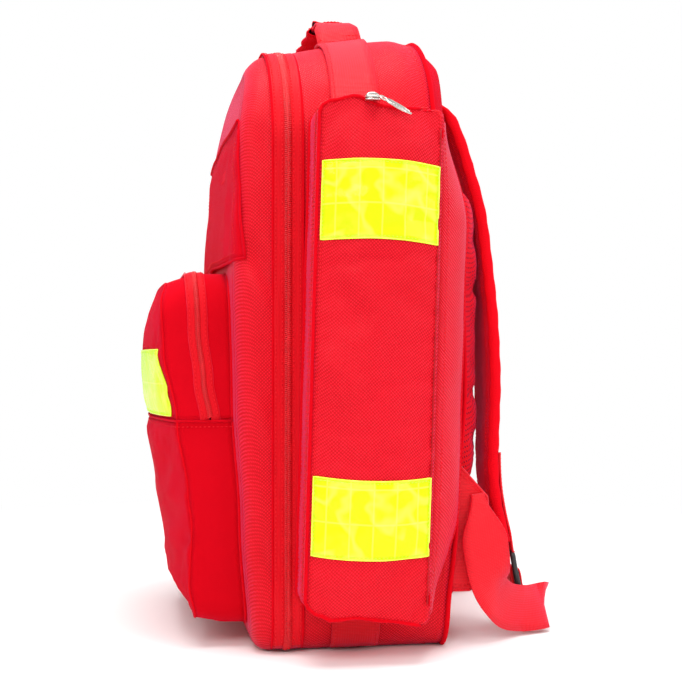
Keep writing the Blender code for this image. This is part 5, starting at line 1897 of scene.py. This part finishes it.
def zip_pulls():
    for name in ("upper", "lower"):
        slider(f"main_slider_{name}", (0, 0, 1 if name == "upper" else -1), (-1, 0, 0))
        low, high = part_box(f"main_pull_{name}")
        pull(f"main_pull_{name}", ((low.x + high.x) / 2, ZIP_Y, high.z - 0.0008), (0, 0, -1),
             (-1, 0, 0), 0.034)
    drop = 0.004
    slider("front_slider", (-1, 0, 0), (0, 0, 1), (0, 0, -drop))
    low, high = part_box("front_pull")
    tilt = math.radians(8)
    pivot = (high.x - 0.0008, (low.y + high.y) / 2, high.z - 0.0008 - drop)
    pull("front_pull", pivot, (-math.cos(tilt), 0, -math.sin(tilt)), (0, 0, 1), 0.030)
    for side, sign in SIDES:
        low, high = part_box(f"side_slider_{side}")
        rim = side_point(sign, (low.y + high.y) / 2 - SIDE_Y, SIDE_DEPTH, SIDE_HALF_HEIGHT)
        drop = low.z - rim.z - 0.0018
        slider(f"side_slider_{side}", (0, 1, 0), (0, math.sin(POCKET_LEAN), math.cos(POCKET_LEAN)),
               (0, 0.003, -drop))
        low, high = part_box(f"side_pull_{side}")
        fall = math.radians(26) + POCKET_LEAN
        pivot = ((low.x + high.x) / 2, low.y + 0.0022, high.z - 0.0034 - drop)
        pull(f"side_pull_{side}", pivot, (0, math.cos(fall), -math.sin(fall)),
             (sign * 0.5, 0, 0.85), 0.026)


# ---- stage ----
AMBIENT = 0.55  # what the white surroundings light the bag with


def stage():
    """A pale floor that fades into the white around it, soft lamps, and the camera."""
    m = Finish("floor", (0.93, 0.93, 0.93), 0.7)
    far = m.ramp(m.node("VectorMath", 1, Vector=m.place()), 0.45, 0.95)
    length = m.tree.nodes["Vector Math"]
    length.operation = "LENGTH"
    m.feed(m.shader.inputs["Emission Color"], (1, 1, 1, 1))
    m.feed(m.shader.inputs["Emission Strength"], far)
    colour = m.mix(far, (0.93, 0.93, 0.93), (0.0, 0.0, 0.0))
    m.use(colour, 0.7, m.noise(m.place(), 400.0), 0.00002, 0.2)
    m.feed(m.shader.inputs["Specular IOR Level"], 0.0)
    floor = mesh_object("floor", [(-6, -6, 0), (6, -6, 0), (6, 6, 0), (-6, 6, 0)], [(0, 1, 2, 3)],
                        m.material)
    world = bpy.data.worlds.new("studio")
    bpy.context.scene.world = world
    world.use_nodes = True
    # The backdrop itself is white, and it lights the bag less than the lamps do.
    tree = world.node_tree
    background = tree.nodes["Background"]
    background.inputs["Color"].default_value = (1, 1, 1, 1)
    seen = tree.nodes.new("ShaderNodeLightPath").outputs["Is Camera Ray"]
    strength = tree.nodes.new("ShaderNodeMapRange")
    tree.links.new(seen, strength.inputs["Value"])
    strength.inputs["To Min"].default_value = AMBIENT
    strength.inputs["To Max"].default_value = 1.0
    tree.links.new(strength.outputs["Result"], background.inputs["Strength"])
    for name, place, size, power in (
        ("overhead", (0.25, -0.1, 1.9), 1.2, 32),
        ("key", (1.7, -0.7, 1.3), 0.9, 17),
        ("front", (-0.3, -1.8, 1.0), 1.0, 3.5),
        ("rear", (-0.5, 1.8, 1.1), 1.0, 9),
        ("rear_right", (1.4, 1.3, 0.9), 0.9, 9),
    ):
        lamp = bpy.data.lights.new(name, "AREA")
        lamp.size, lamp.energy = size, power
        made = bpy.data.objects.new(name, lamp)
        bpy.context.scene.collection.objects.link(made)
        made.location = place
        towards = Vector((0, 0, 0.25)) - Vector(place)
        made.rotation_euler = towards.to_track_quat("-Z", "Y").to_euler()
    bpy.context.scene.view_settings.view_transform = "Standard"
    camera = bpy.data.objects.new("camera", bpy.data.cameras.new("camera"))
    bpy.context.scene.collection.objects.link(camera)
    bpy.context.scene.camera = camera
    turn, distance, eye = math.radians(10), 1.13, 0.228
    camera.location = (distance * math.cos(turn), -distance * math.sin(turn), eye)
    ahead = Vector((-math.cos(turn), math.sin(turn), 0))
    camera.rotation_euler = ahead.to_track_quat("-Z", "Y").to_euler()
    camera.data.sensor_width, camera.data.lens = 36, 66
    camera.data.shift_y = 0.028


def build():
    gusset = main_shell()
    lid_band = lid_shell()
    main_zip(gusset, lid_band)
    handle()
    front_pocket()
    document_pocket()
    for side, sign in SIDES:
        load_webbing(gusset, side, sign)
        side_pocket(side, sign)
        shoulder_strap(side, sign)
        buckle(side, sign)
        harness_webbing(side, sign)
        wing(side, sign)
        strap_anchor(side, sign)
    back_pads()
    interior()
    hinges()
    zip_pulls()
    for key, stitches in THREAD.items():
        finish = THREAD_YELLOW if key.startswith("yellow ") else THREAD_RED
        body = key.removeprefix("yellow ")
        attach(stitches.made("stitches_" + key.replace(" ", "_"), finish), body)


build()
stage()
